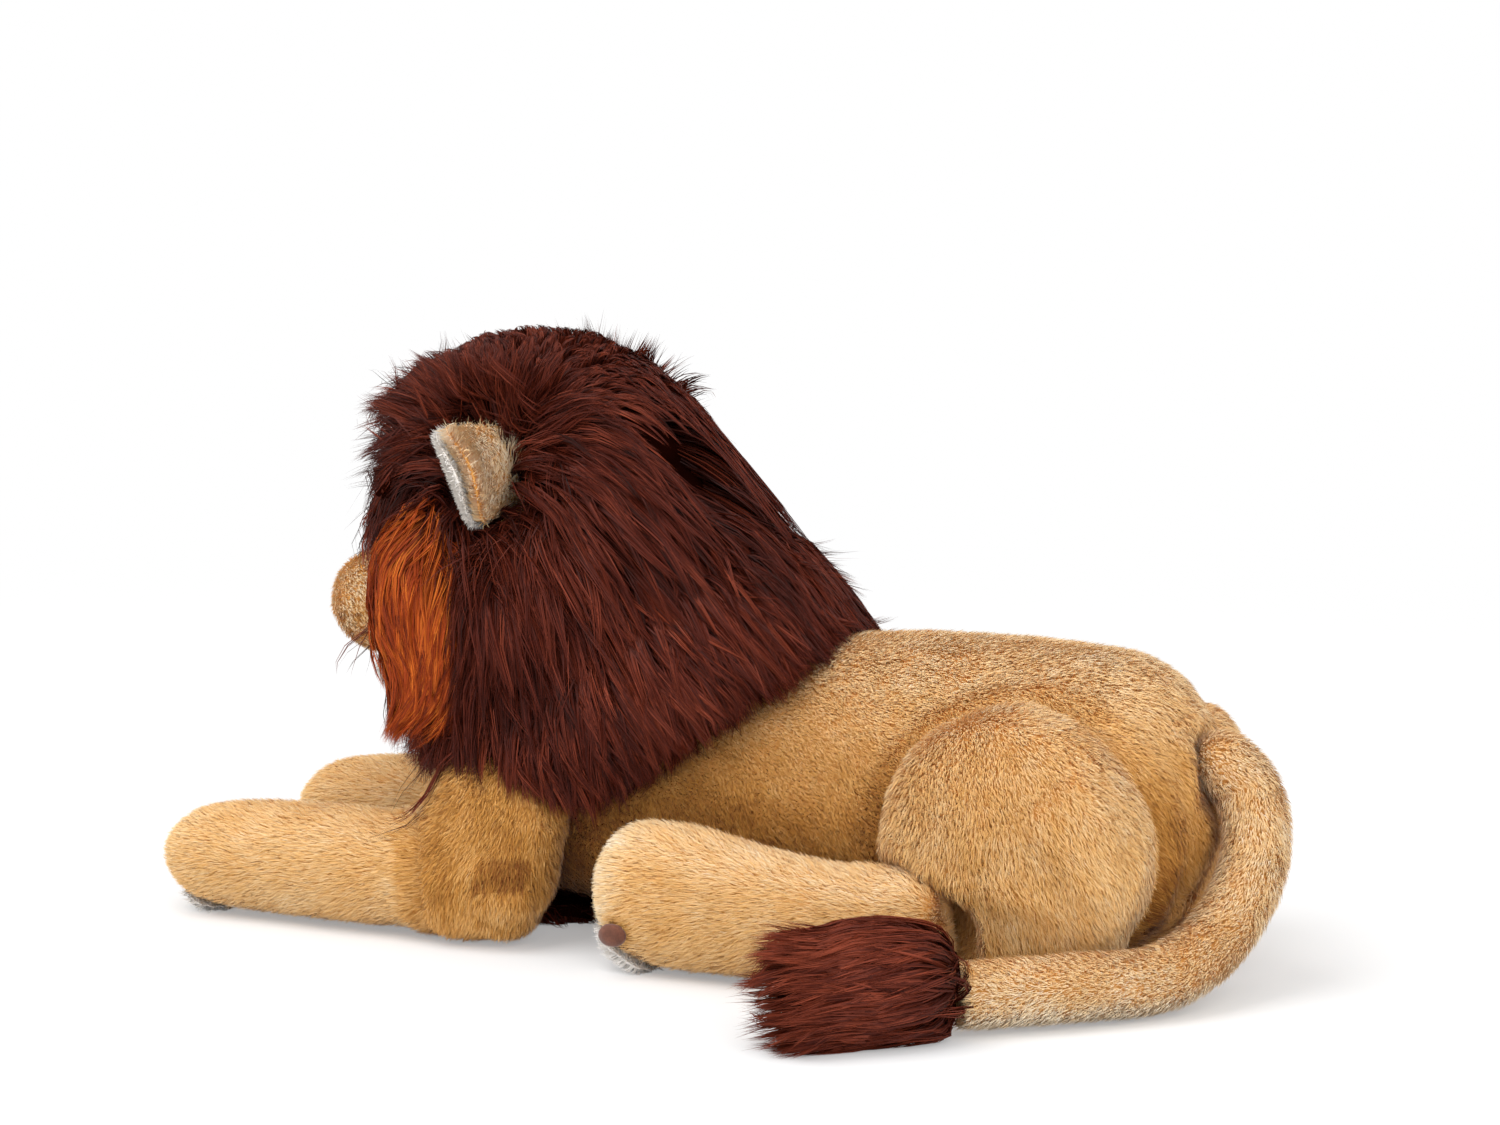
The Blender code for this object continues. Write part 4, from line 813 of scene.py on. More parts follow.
def eye_material(name, centre, way, radius, amber):
    """Moulded acrylic eye, painted behind: black pupil, streaked amber iris and black rim under clear gloss."""
    made = new_material(name)
    tree = made.node_tree
    place = node(tree, "ShaderNodeTexCoord")
    off = node(tree, "ShaderNodeVectorMath", {"operation": "SUBTRACT"}, {0: (place, "Object")})
    off.inputs[1].default_value = centre
    turned = node(tree, "ShaderNodeVectorMath", {"operation": "CROSS_PRODUCT"}, {0: (off, "Vector")})
    turned.inputs[1].default_value = way
    out = node(tree, "ShaderNodeVectorMath", {"operation": "LENGTH"}, {0: (turned, "Vector")})
    share = node(tree, "ShaderNodeMath", {"operation": "DIVIDE"}, {0: (out, "Value")})
    share.inputs[1].default_value = radius
    streak = node(tree, "ShaderNodeTexNoise", {"Scale": 700.0, "Detail": 2.0}, {"Vector": (place, "Object")})
    wander = node(
        tree, "ShaderNodeMath", {"operation": "MULTIPLY_ADD"}, {0: (streak, "Fac"), 2: (share, "Value")},
    )
    wander.inputs[1].default_value = 0.06
    black = (0.006, 0.005, 0.004, 1.0)
    stops = [
        (0.0, black), (0.43, black), (0.47, darker(amber, 0.55)), (0.66, amber), (0.80, darker(amber, 0.5)),
        (0.86, black),
    ]
    tint = node(tree, "ShaderNodeValToRGB", {"stops": stops}, {"Fac": (wander, "Value")})
    shader = node(
        tree, "ShaderNodeBsdfPrincipled",
        {"Roughness": 0.08, "IOR": 1.49, "Coat Weight": 1.0, "Coat Roughness": 0.03},
        {"Base Color": (tint, "Color")},
    )
    node(tree, "ShaderNodeOutputMaterial", None, {"Surface": (shader, "BSDF")})
    return made


def washer_material(name):
    """Moulded polypropylene lock washer, milky, with a faint mould haze."""
    made = new_material(name)
    tree = made.node_tree
    place = node(tree, "ShaderNodeTexCoord")
    haze = node(tree, "ShaderNodeTexNoise", {"Scale": 300.0, "Detail": 2.0}, {"Vector": (place, "Object")})
    stops = [(0.3, linear("#D8D6D0")), (0.7, linear("#ECEAE5"))]
    tint = node(tree, "ShaderNodeValToRGB", {"stops": stops}, {"Fac": (haze, "Fac")})
    shader = node(
        tree, "ShaderNodeBsdfPrincipled", {"Roughness": 0.45, "IOR": 1.49}, {"Base Color": (tint, "Color")},
    )
    node(tree, "ShaderNodeOutputMaterial", None, {"Surface": (shader, "BSDF")})
    return made


def finish_named(name, make):
    """The material of this name, made the first time it is asked for."""
    return bpy.data.materials.get(name) or make(name)


def golden_pile_material():
    """Acrylic short pile, cut and brushed: shaded orange-brown roots under pale tips give the golden grain."""
    c = bpy.context.scene.lion_colours
    stops = [
        (0.05, c.flank[:]), (0.28, c.tan[:]), (0.52, c.golden[:]), (0.76, c.light[:]), (0.98, c.cream[:]),
    ]
    return finish_named(
        "acrylic_short_pile_golden",
        lambda name: pile_material(name, stops, root_share=0.92, roughness=0.72, sheen=0.2),
    )


def golden_backing_material():
    """The golden fabric's knitted back, the tan and golden of its pile's roots."""
    c = bpy.context.scene.lion_colours
    dark, light = darker(c.tan, 0.85, 0.1), darker(c.golden, 0.9, 0.05)
    return finish_named("knitted_backing_golden", lambda name: backing_material(name, dark, light))


def white_pile_material():
    """Acrylic white pile, brushed out: soft greyish shadows between the tufts keep it from looking flat."""
    white = bpy.context.scene.lion_colours.white
    stops = [(0.05, darker(white, 0.75)), (0.5, darker(white, 0.97)), (0.98, white[:])]
    return finish_named(
        "acrylic_short_pile_white",
        lambda name: pile_material(name, stops, root_share=0.94, roughness=0.8, sheen=0.2, warmth=0.02),
    )


def white_backing_material():
    """The white fabric's knitted back."""
    white = bpy.context.scene.lion_colours.white
    dark, light = darker(white, 0.88), darker(white, 0.97)
    return finish_named("knitted_backing_white", lambda name: backing_material(name, dark, light))


def mane_pile_material():
    """Acrylic long pile, dyed reddish brown: near-black at the roots, a soft gloss along each strand."""
    c = bpy.context.scene.lion_colours
    stops = [(0.05, c.mane_dark[:]), (0.5, c.mane[:]), (0.95, c.mane_light[:])]
    strand = {"root_share": 0.38, "roughness": 0.5, "sheen": 0.0, "gloss": 0.14, "warmth": 0.1, "root_reach": 0.85}
    return finish_named("acrylic_long_pile_mane", lambda name: pile_material(name, stops, **strand))


def rust_pile_material():
    """Acrylic long pile, airbrushed rust over a dark root: the dark shows where locks part."""
    c = bpy.context.scene.lion_colours
    stops = [(0.05, c.mane[:]), (0.45, c.rust[:]), (0.9, c.rust_light[:])]
    strand = {"root_share": 0.35, "roughness": 0.6, "sheen": 0.0, "gloss": 0.15, "warmth": 0.1, "root_reach": 0.8}
    return finish_named("acrylic_long_pile_rust", lambda name: pile_material(name, stops, **strand))


def mane_backing_material():
    """The mane's knitted back, nearly black: painted shade, so that where it shows between the locks it reads as
    the shadow there.
    """
    shade = bpy.context.scene.lion_colours.mane_dark
    dark, light = darker(shade, 0.35), darker(shade, 0.8)
    return finish_named("knitted_backing_mane", lambda name: backing_material(name, dark, light, gloss=0.0))


def dress(made, material, body, nodes):
    """Gives a made form its material and body, and hides the CAD nodes it stands for."""
    made.data.materials.clear()
    made.data.materials.append(material)
    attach(made, body)
    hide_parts(*nodes)
    return made


# Flows and tones


def outline(route):
    """Height and depth of an outline seen from the side, from the lowest point up."""
    return zip(*sorted((z, x) for x, z in route))


def before_cheek(points):
    """How far points lie in front of the rust hair's outline."""
    front_z, front_x = outline(CHEEK_FRONT)
    return np.interp(points[:, 2], front_z, front_x) - points[:, 0]


def cheek_flow(side):
    """Rust hair between its two outlines, fanned out from under the ear and pointed below the jaw."""
    front_z, front_x = outline(CHEEK_FRONT)
    back_z, back_x = outline(CHEEK_BACK)
    drop = 0.006

    def flow(points, normals):
        x, z = points[:, 0], points[:, 2]
        front, back = np.interp(z, front_z, front_x), np.interp(z, back_z, back_x)
        share = np.clip((x - front) / np.maximum(back - front, 0.002), 0, 1)
        lower_front, lower_back = np.interp(z - drop, front_z, front_x), np.interp(z - drop, back_z, back_x)
        lean = (lower_front + share * (lower_back - lower_front) - x) / drop
        return np.stack([np.clip(lean, -1.1, 1.1), np.full(len(x), 0.08 * side), -np.ones(len(x))], axis=1)

    return flow


def steady(x, y, z):
    """A flow in one direction."""
    return lambda points, normals: np.broadcast_to(np.array([x, y, z], float), points.shape)


def route_flow(route):
    """A flow along a line of points."""
    def flow(points, normals):
        best, way = np.full(len(points), np.inf), np.zeros_like(points)
        for a, b in zip(route[:-1], route[1:]):
            share = np.clip((points - a) @ (b - a) / ((b - a) @ (b - a)), 0, 1)
            far = np.linalg.norm(points - a - share[:, None] * (b - a), axis=1)
            near = far < best
            best[near], way[near] = far[near], (b - a) / np.linalg.norm(b - a)
        return way
    return flow


def away_from(centre):
    return lambda points, normals: points - centre


def mane_flow(points, normals):
    """Long pile swept out from the line through both ears, upright in front, laid back and down elsewhere."""
    out = np.stack([points[:, 0] - EAR_X, np.zeros(len(points)), points[:, 2] - EAR_Z], axis=1)
    far = np.linalg.norm(out, axis=1, keepdims=True)
    out = out / np.maximum(far, 1e-6)
    down = 0.12 + 0.95 * smooth_step(0.75, -0.55, out[:, 2:3])
    laid = smooth_step(EAR_X + 0.025, EAR_X + 0.085, points[:, 0:1])
    hanging = np.array([0.0, 0.0, -1.0]) * down * smooth_step(0.0, 0.06, far)
    way = out + hanging + np.array([0.55, 0.0, -0.15]) * laid
    return way - normals * np.maximum((way * normals).sum(axis=1, keepdims=True), 0) * 0.85 * laid


# Pieces


def mottled(points, seed, coarse, fine=0.007, coarse_share=0.05, fine_share=0.05):
    """Uneven tone of brushed pile, in patches of two sizes."""
    return coarse_share * ripple(points, coarse, seed) + fine_share * ripple(points, fine, seed + 1)


def golden_form(name, body, nodes, voxel, inset=LIMB_INSET, swell=None, fill=LIMB_FILL, **shape):
    """A stuffed form in golden fabric that rides its body."""
    if swell is None:
        swell = bpy.context.scene.lion_sizes.swell
    made = stuffed_form(name, nodes, voxel, inset, swell, **shape)
    return dress(made, golden_backing_material(), body, nodes)


def golden_pile(name, body, cloth, flow, tone, seed, pile=None, density=None, **comb):
    """Short golden pile over a form, at the body's length and density unless others are given."""
    sizes = bpy.context.scene.lion_sizes
    short_pile(
        name, cloth, body, "golden_pile", golden_pile_material(), flow, tone,
        pile or sizes.golden_pile, sizes.tuft_width, density or sizes.density, seed=seed, **comb,
    )


def white_pile(name, body, cloth, flow, tone, seed, length_share=1.0, **comb):
    """White pile over a form, at a share of the white pile's length."""
    sizes = bpy.context.scene.lion_sizes
    short_pile(
        name, cloth, body, "white_pile", white_pile_material(), flow, tone,
        sizes.white_pile * length_share, sizes.tuft_width, seed=seed, **comb,
    )


def sewn_limbs(layer):
    """The CAD nodes of this layer in the limb parts that are sewn flat to the body."""
    return [f"{limb}_{layer}_{hand}" for limb in ("thigh", "upper_foreleg") for hand in SIDES]


class LION_OT_body(bpy.types.Operator):
    """Make the stuffed body with its golden pile"""

    bl_idname = "lion.body"
    bl_label = "Body"

    def execute(self, context):
        inset, voxel, above = 0.0044, 0.0045, 0.3
        under_mane = 0.011
        seam_x = (0.03, 0.07, 0.11, 0.14, 0.165, 0.185, 0.20)
        skin = cad_tree(["body_skin"])
        places = [Vector((x, SPINE_Y, above)) for x in seam_x]
        back = [tuple(skin.ray_cast(place, Vector((0, 0, -1)))[0]) for place in places]
        towards = filled_towards(["tail_skin", "thigh_skin_left", "thigh_skin_right"])
        nodes = ("body_skin", "body_filling")
        cloth = Cloth(golden_form("body", "torso", nodes, voxel, inset, deeper=towards))
        cloth.cover(sewn_limbs("filling"), UNDER_LIMB, UNDER_LIMB_MARGIN)
        cloth.cover(("mane_ruff", "mane_crown", "chest_hair"), under_mane)
        beside = near_nodes(sewn_limbs("skin"))

        def flow(points, normals):
            side = np.sign(points[:, 1] - SPINE_Y)
            down = -0.25 - 0.5 * (1 - np.abs(normals[:, 2]))
            return np.stack([np.ones(len(points)), 0.2 * side, down], axis=1)

        def tone(points, normals):
            # Painted shade: the pile darkens low on the flank, towards the front and beside the sewn limbs, where
            # shade falls; the back keeps its light tone.
            high = smooth_step(0.045, 0.140, points[:, 2])
            forward = smooth_step(0.10, -0.02, points[:, 0])
            shaded = (0.46 + 0.12 * forward) * (1 - high) + 0.12 * beside(points)
            return 0.76 - shaded + mottled(points, 11, 0.03, 0.008)

        def weight(points, ways):
            lain_on = (points[:, 2] < 0.006) & (ways[:, 2] < -0.5)
            return np.where(lain_on, 0.25, 1.0)

        def trim(points, normals):
            return 1 - 0.35 * seam_nearness(points, [back], 0.0022, inset)

        golden_pile("body_pile", "torso", cloth, flow, tone, 21, weight=weight, trim=trim)
        return {"FINISHED"}


class LION_OT_forelegs(bpy.types.Operator):
    """Make the shoulders, the forelegs and their white soles"""

    bl_idname = "lion.forelegs"
    bl_label = "Forelegs"

    def execute(self, context):
        for hand in SIDES:
            shoulder(hand)
            foreleg(hand)
            sole(f"paw_sole_{hand}", f"foreleg_{hand}", 37)
        return {"FINISHED"}


def shoulder(hand):
    """The upper foreleg, sewn flat to the body, with creases at the elbow."""
    voxel, smoothing, under_mane, reach = 0.0040, 9, 0.011, 0.010
    creases = limb_routes("foreleg_lift", hand, ARM_CREASES)
    made = golden_form(
        f"shoulder_{hand}", "torso", (f"upper_foreleg_skin_{hand}", f"upper_foreleg_filling_{hand}"), voxel,
        seams=creases, rounds=smoothing, deeper=filled_towards([f"foreleg_skin_{hand}"]),
    )
    cloth = Cloth(made)
    cloth.cover(("body_filling", f"foreleg_filling_{hand}"), UNDER_LIMB, UNDER_LIMB_MARGIN)
    cloth.cover(("mane_ruff", "chest_hair"), under_mane)
    beside = near_nodes(["body_skin", f"foreleg_skin_{hand}", "mane_ruff"], reach)
    folded = creased(creases)

    def tone(points, normals):
        low = smooth_step(0.03, 0.0, points[:, 2])
        front = smooth_step(-0.085, -0.11, points[:, 0])
        # Painted shade beside the body, the foreleg and the ruff, and in the elbow creases.
        shaded = 0.16 * beside(points) + 0.26 * folded(points)
        return 0.31 + 0.18 * low + 0.12 * front - shaded + mottled(points, 31, 0.02)

    golden_pile(
        f"shoulder_pile_{hand}", "torso", cloth, steady(-0.25, 0, -1), tone, 33, trim=shorn(folded),
    )


def shorn(folded):
    """Pile cut to half its length where the cloth is folded."""
    return lambda points, normals: 1 - 0.5 * folded(points)


def foreleg(hand):
    """The stretched foreleg, palest at the paw, with a faint painted highlight along its top."""
    voxel, under_sole, under_mane, reach = 0.0040, 0.003, 0.010, 0.008
    made = golden_form(
        f"foreleg_{hand}", f"foreleg_{hand}", (f"foreleg_skin_{hand}", f"foreleg_filling_{hand}"), voxel,
        deeper=filled_towards([f"upper_foreleg_skin_{hand}"]),
    )
    cloth = Cloth(made)
    cloth.cover((f"paw_sole_{hand}",), under_sole)
    cloth.cover((f"upper_foreleg_filling_{hand}", "body_filling"), UNDER_LIMB, UNDER_LIMB_MARGIN)
    cloth.cover(("chest_hair",), under_mane)
    beside = near_nodes([f"upper_foreleg_skin_{hand}"], reach)

    def tone(points, normals):
        # A faint painted highlight on the upward-facing top, and painted shade beside the upper foreleg; the paw
        # is paler in its own colour.
        ridge = smooth_step(0.2, 0.6, normals[:, 2]) * smooth_step(1.0, 0.8, normals[:, 2])
        paw = smooth_step(-0.222, -0.238, points[:, 0])
        lit = 0.60 + 0.02 * ridge + 0.24 * paw - 0.20 * beside(points)
        return lit + mottled(points, 34, 0.025, coarse_share=0.04)

    golden_pile(f"foreleg_pile_{hand}", f"foreleg_{hand}", cloth, steady(-1, 0, -0.12), tone, 36)


def sole(nodename, body, seed):
    """A white sole panel with its pile."""
    voxel, inset, lean = 0.0012, 0.0002, 40
    made = stuffed_form(f"{nodename}_panel", (nodename,), voxel, inset, 0, rounds=2)
    dress(made, white_backing_material(), body, (nodename,))

    def tone(points, normals):
        return 0.94 + 0.04 * ripple(points, 0.01, seed)

    white_pile(
        f"{nodename}_pile", body, Cloth(made), steady(-1, 0, -0.3), tone, seed, density=TRIM_DENSITY,
        lean=lean,
    )


class LION_OT_hind_legs(bpy.types.Operator):
    """Make the thighs, the hind feet, their soles and the toe patches"""

    bl_idname = "lion.hind_legs"
    bl_label = "Hind legs"

    def execute(self, context):
        for hand in SIDES:
            thigh(hand)
            hind_foot(hand)
            sole(f"hind_foot_sole_{hand}", f"hind_foot_{hand}", 47)
            toe_patch(hand)
        return {"FINISHED"}


def thigh(hand):
    """The round thigh, sewn flat to the body, paler round its rim and creased at the knee."""
    voxel, reach = 0.0045, 0.010
    nodes = (f"thigh_skin_{hand}", f"thigh_filling_{hand}")
    creases = limb_routes("hind_foot_lift", hand, KNEE_CREASES)
    made = golden_form(
        f"thigh_{hand}", "torso", nodes, voxel, seams=creases,
        deeper=filled_towards([f"hind_foot_skin_{hand}"]),
    )
    cloth = Cloth(made)
    cloth.cover(("body_filling", f"hind_foot_filling_{hand}"), UNDER_LIMB, UNDER_LIMB_MARGIN)
    beside = near_nodes(["body_skin", f"hind_foot_skin_{hand}"], reach)
    folded = creased(creases)
    middle = np.mean(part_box(nodes[0]), axis=0)

    def tone(points, normals):
        rim = smooth_step(0.036, 0.056, np.linalg.norm((points - middle)[:, [0, 2]], axis=1))
        # Painted shade beside the body and the hind foot, and in the knee creases.
        shaded = 0.10 * beside(points) + 0.24 * folded(points)
        return 0.53 + 0.12 * rim - shaded + mottled(points, 41, 0.02, fine_share=0.06)

    def flow(points, normals):
        return np.array([0.5, 0.0, -1.0]) + 6 * (points - middle) * np.array([1, 0, 1])

    golden_pile(f"thigh_pile_{hand}", "torso", cloth, flow, tone, 43, trim=shorn(folded))


def hind_foot(hand):
    """The hind foot with the seam along its side, palest at the toe, with a painted highlight on top and painted
    shade along the seam.
    """
    voxel, under_trim, reach = 0.0040, 0.003, 0.006
    foot = f"hind_foot_{hand}"
    ridge = limb_routes("hind_foot_lift", hand, FOOT_CREASES)
    made = golden_form(
        foot, foot, (f"hind_foot_skin_{hand}", f"hind_foot_filling_{hand}"), voxel, seams=ridge,
        deeper=filled_towards([f"thigh_skin_{hand}"]),
    )
    cloth = Cloth(made)
    cloth.cover((f"hind_foot_sole_{hand}", f"toe_patch_{hand}"), under_trim)
    cloth.cover((f"thigh_filling_{hand}", "body_filling"), UNDER_LIMB, UNDER_LIMB_MARGIN)
    beside = near_nodes([f"thigh_skin_{hand}", f"toe_patch_{hand}"], reach)
    ridged = creased(ridge)

    def tone(points, normals):
        # A painted highlight on the upward-facing top, and painted shade beside the thigh and the toe patch and
        # along the seam; the toe is paler in its own colour.
        top = smooth_step(0.3, 0.7, normals[:, 2])
        toe = smooth_step(0.0, -0.018, points[:, 0])
        shaded = 0.18 * beside(points) + 0.22 * ridged(points)
        return 0.57 + 0.12 * top + 0.22 * toe - shaded + mottled(points, 44, 0.022)

    golden_pile(f"hind_foot_pile_{hand}", foot, cloth, steady(-1, 0, -0.1), tone, 46, trim=shorn(ridged))


def brown_suede():
    """The suede of the nose and the toe patches."""
    shade = bpy.context.scene.lion_colours.suede[:]
    return finish_named("polyester_suede_brown", lambda name: suede_material(name, shade))


def toe_patch(hand):
    """The small suede patch on the outer side of a toe."""
    node_name, voxel = f"toe_patch_{hand}", 0.0009
    patch = stuffed_form(f"{node_name}_suede", (node_name,), voxel, 0.0, 0)
    dress(patch, brown_suede(), f"hind_foot_{hand}", (node_name,))


class LION_OT_tail(bpy.types.Operator):
    """Make the tail with its golden pile and dark tuft"""

    bl_idname = "lion.tail"
    bl_label = "Tail"

    def execute(self, context):
        voxel, inset, swell, under = 0.0036, 0.0034, 0.0022, 0.002
        made = golden_form("tail", "tail", ("tail_skin", "tail_filling"), voxel, inset, swell)
        cloth = Cloth(made)
        cloth.cover(("body_skin", "tail_tuft"), under)

        def tone(points, normals):
            up = smooth_step(-0.2, 0.8, normals[:, 2]) * smooth_step(0.05, 0.02, points[:, 2])
            below = smooth_step(-0.1, -0.7, normals[:, 2])
            return 0.74 - 0.06 * up + 0.16 * below + mottled(points, 51, 0.018)

        golden_pile("tail_pile", "tail", cloth, route_flow(TAIL_ROUTE), tone, 53)
        tail_tuft(context.scene.lion_sizes)
        return {"FINISHED"}


def tail_tuft(sizes):
    """The long dark pile at the tail's end, fanned out towards its blunt tip."""
    voxel, inset, pile, strands = 0.0030, 0.0050, 0.050, 17000
    made = stuffed_form("tail_tuft_backing", ("tail_tuft",), voxel, inset, 0, rounds=4)
    dress(made, mane_backing_material(), "tail", ("tail_tuft",))
    low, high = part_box("tail_tuft")
    heading = unit(TAIL_ROUTE[-1] - TAIL_ROUTE[-2])
    tip = TAIL_ROUTE[-2] + heading * 0.062
    middle = np.array([TAIL_ROUTE[-2][0], TAIL_ROUTE[-2][1], 0.5 * (low[2] + high[2])])

    def weight(points, ways):
        return smooth_step(0.012, -0.030, (points - tip) @ heading) + 0.02

    def flow(points, normals):
        off = points - middle
        fan = off - np.outer(off @ heading, heading)
        return heading + 7.0 * fan + np.array([0, 0, -0.06])

    def tone(points, normals):
        # Lighter on upward-facing strands, a painted highlight, and lighter towards the tip.
        top = smooth_step(0.2, 1.0, normals[:, 2])
        towards_tip = smooth_step(0.0, 0.05, (points - middle) @ heading)
        return 0.58 + 0.12 * top + 0.16 * towards_tip

    long_pile(
        "tail_tuft_pile", Cloth(made), "tail", "mane_pile", mane_pile_material(),
        depth_in(cad_tree(["tail_tuft"])), flow, tone, pile, sizes.strand_width, strands, 54,
        lift=0.55, weight=weight, gather=0.5, overhang=0.013, proud=standing(0.0015),
    )


def standing(height):
    """The same height over its CAD envelope for every strand."""
    return lambda points, normals: np.full(len(points), height)


class LION_OT_head(bpy.types.Operator):
    """Make the head, the muzzle, the snout and the white chin"""

    bl_idname = "lion.head"
    bl_label = "Head"

    def execute(self, context):
        voxel, inset, swell, fill = 0.0040, 0.0040, 0.0022, 0.9
        under_face, under_mane, density = 0.004, 0.010, 2.0
        pads = ("muzzle_pad_left", "muzzle_pad_right")
        made = golden_form("head", "head", ("head_skin", "head_filling"), voxel, inset, swell, fill)
        cloth = Cloth(made)
        cloth.cover((*pads, "chin", "snout_gusset", "mane_ruff"), under_face)
        cloth.cover(("mane_crown", "cheek_hair_left", "cheek_hair_right"), under_mane)

        def tone(points, normals):
            return 0.70 + mottled(points, 61, 0.02, 0.006)

        golden_pile(
            "face_pile", "head", cloth, away_from(NOSE_TIP), tone, 63,
            pile=context.scene.lion_sizes.face_pile, density=density,
        )
        for piece in (*pads, "snout_gusset"):
            snout_piece(piece)
        chin()
        return {"FINISHED"}


def whisker_dots():
    """Places of the dark dots on both muzzle pads: forward or back, side, and height over the floor."""
    first_in, row_in, apart, drop, top, climb = 0.012, 0.002, 0.0085, 0.0075, 0.122, 0.001
    dots = []
    for hand, side in SIDES.items():
        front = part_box(f"muzzle_pad_{hand}")[0][0]
        for row in range(3):
            for step in range(3):
                x = front + first_in + apart * step + row_in * row
                dots.append((x, side, top - drop * row + climb * step))
    return dots


def face_form(piece, backing):
    """One small stuffed form of the snout, bare under its neighbours."""
    voxel, inset, swell, under = 0.0022, 0.0028, 0.0016, 0.003
    made = stuffed_form(f"{piece}_form", (piece,), voxel, inset, swell)
    dress(made, backing, "head", (piece,))
    cloth = Cloth(made)
    others = ("head_skin", "muzzle_pad_left", "muzzle_pad_right", "chin", "snout_gusset", "nose")
    cloth.cover([name for name in others if name != piece], under)
    return cloth


def snout_piece(piece):
    """A muzzle pad or the gusset between them, with the whisker dots."""
    dots = whisker_dots()

    def tone(points, normals):
        shade = 0.76 + mottled(points, 64, 0.015, 0.006)
        for x, side, z in dots:
            at = np.hypot(points[:, 0] - x, points[:, 2] - z)
            beside = (points[:, 1] - SPINE_Y) * side > 0.006
            shade = shade - 0.62 * smooth_step(0.0022, 0.0012, at) * beside
        return shade

    cloth = face_form(piece, golden_backing_material())
    golden_pile(
        f"{piece}_pile", "head", cloth, away_from(NOSE_TIP), tone, 68,
        pile=bpy.context.scene.lion_sizes.face_pile, density=TRIM_DENSITY, lean=38,
    )


def chin():
    """The white chin below the muzzle."""
    cloth = face_form("chin", white_backing_material())
    inside_mouth = np.array([-0.20, SPINE_Y, 0.12])

    def tone(points, normals):
        return 0.92 + 0.05 * ripple(points, 0.01, 66)

    white_pile(
        "chin_pile", "head", cloth, away_from(inside_mouth), tone, 67, length_share=1.25,
        density=TRIM_DENSITY, lean=42,
    )


class LION_OT_face(bpy.types.Operator):
    """Make the nose and finish the eyes"""

    bl_idname = "lion.face"
    bl_label = "Nose and eyes"

    def execute(self, context):
        voxel, inset = 0.0011, 0.0018
        nose = stuffed_form("nose_suede", ("nose",), voxel, inset, 0, rounds=4)
        dress(nose, brown_suede(), "head", ("nose",))
        amber = context.scene.lion_colours.amber[:]
        turn, rise = math.radians(27), math.radians(17)
        from_centre, radius = 0.047, 0.0065
        for hand, side in SIDES.items():
            way = np.array([
                -math.cos(turn) * math.cos(rise), side * math.sin(turn) * math.cos(rise), math.sin(rise),
            ])
            centre = HEAD_CENTRE + from_centre * way
            finishes = {
                f"eye_{hand}": eye_material(f"acrylic_eye_{hand}", centre, way, radius, amber),
                f"eye_washer_{hand}": finish_named("polypropylene_washer", washer_material),
            }
            for name, finish in finishes.items():
                mesh = frame["nodes"][name].data
                mesh.materials.clear()
                mesh.materials.append(finish)
        return {"FINISHED"}


def ear_axes():
    """The directions along an ear's upright line and from its lining to its back."""
    return (
        np.array([-math.sin(EAR_LEAN), 0.0, math.cos(EAR_LEAN)]),
        np.array([math.cos(EAR_LEAN), 0.0, math.sin(EAR_LEAN)]),
    )


def ear_bow(share):
    """How far back an ear's crescent bows, at a share of its half height from the middle."""
    return EAR_CURL * (0.8 - 1.6 * share ** 2)


def curl_ear(made, root):
    """Curls an ear's layer into a crescent that is thickest halfway up."""
    line, facing = ear_axes()
    points = read_points(made.data)
    share = (points - root) @ line / (0.5 * EAR_HEIGHT)
    across = (points - root) @ facing
    moved = across * (1.12 - 0.5 * share ** 2) + ear_bow(share)
    write_points(made.data, points + (moved - across)[:, None] * facing)


def ear_room(hand):
    """How far points outward of one ear's fold are from its crescent, as seen from the side."""
    root, side = pivot(f"ear_fold_{hand}"), SIDES[hand]
    line, facing = ear_axes()

    def room(points):
        off = points - root
        share = (off @ line) / (0.5 * EAR_HEIGHT)
        aside = (off @ facing - ear_bow(share) + EAR_MIDDLE_BACK) / EAR_HALF_THICKNESS
        far = (np.hypot(share, aside) - 1) * EAR_HALF_THICKNESS
        return np.where(off[:, 1] * side > EAR_BARE_FROM, far, 1.0)

    return room


def ear_layer(layer, hand, backing):
    """One layer of an ear, curled and dressed, as cloth for its pile."""
    voxel, inset, smoothing, fill = 0.0016, 0.0008, 7, 0.6
    nodes = (f"ear_{layer}_{hand}",)
    made = stuffed_form(f"ear_{layer}_form_{hand}", nodes, voxel, inset, 0, rounds=smoothing)
    curl_ear(made, pivot(f"ear_fold_{hand}"))
    dress(made, backing, f"ear_{hand}", nodes)
    return Cloth(made)


class LION_OT_ears(bpy.types.Operator):
    """Make both ears: golden backs and white linings"""

    bl_idname = "lion.ears"
    bl_label = "Ears"

    def execute(self, context):
        back_pile, lining_share, lean, density = 0.0055, 0.8, 44, 2.2

        def tone(points, normals):
            low = smooth_step(EAR_Z - 0.012, EAR_Z - 0.028, points[:, 2])
            return 0.86 - 0.36 * low + 0.06 * ripple(points, 0.012, 71)

        def lining_tone(points, normals):
            return np.full(len(points), 0.95)

        for hand, side in SIDES.items():
            golden_pile(
                f"ear_back_pile_{hand}", f"ear_{hand}",
                ear_layer("back", hand, golden_backing_material()),
                steady(0.7, 0.4 * side, 0.6), tone, 72, pile=back_pile, density=density, lean=lean,
            )
            white_pile(
                f"ear_lining_pile_{hand}", f"ear_{hand}",
                ear_layer("lining", hand, white_backing_material()),
                away_from(pivot(f"ear_fold_{hand}")), lining_tone, 73, length_share=lining_share,
                density=density, lean=lean,
            )
        return {"FINISHED"}


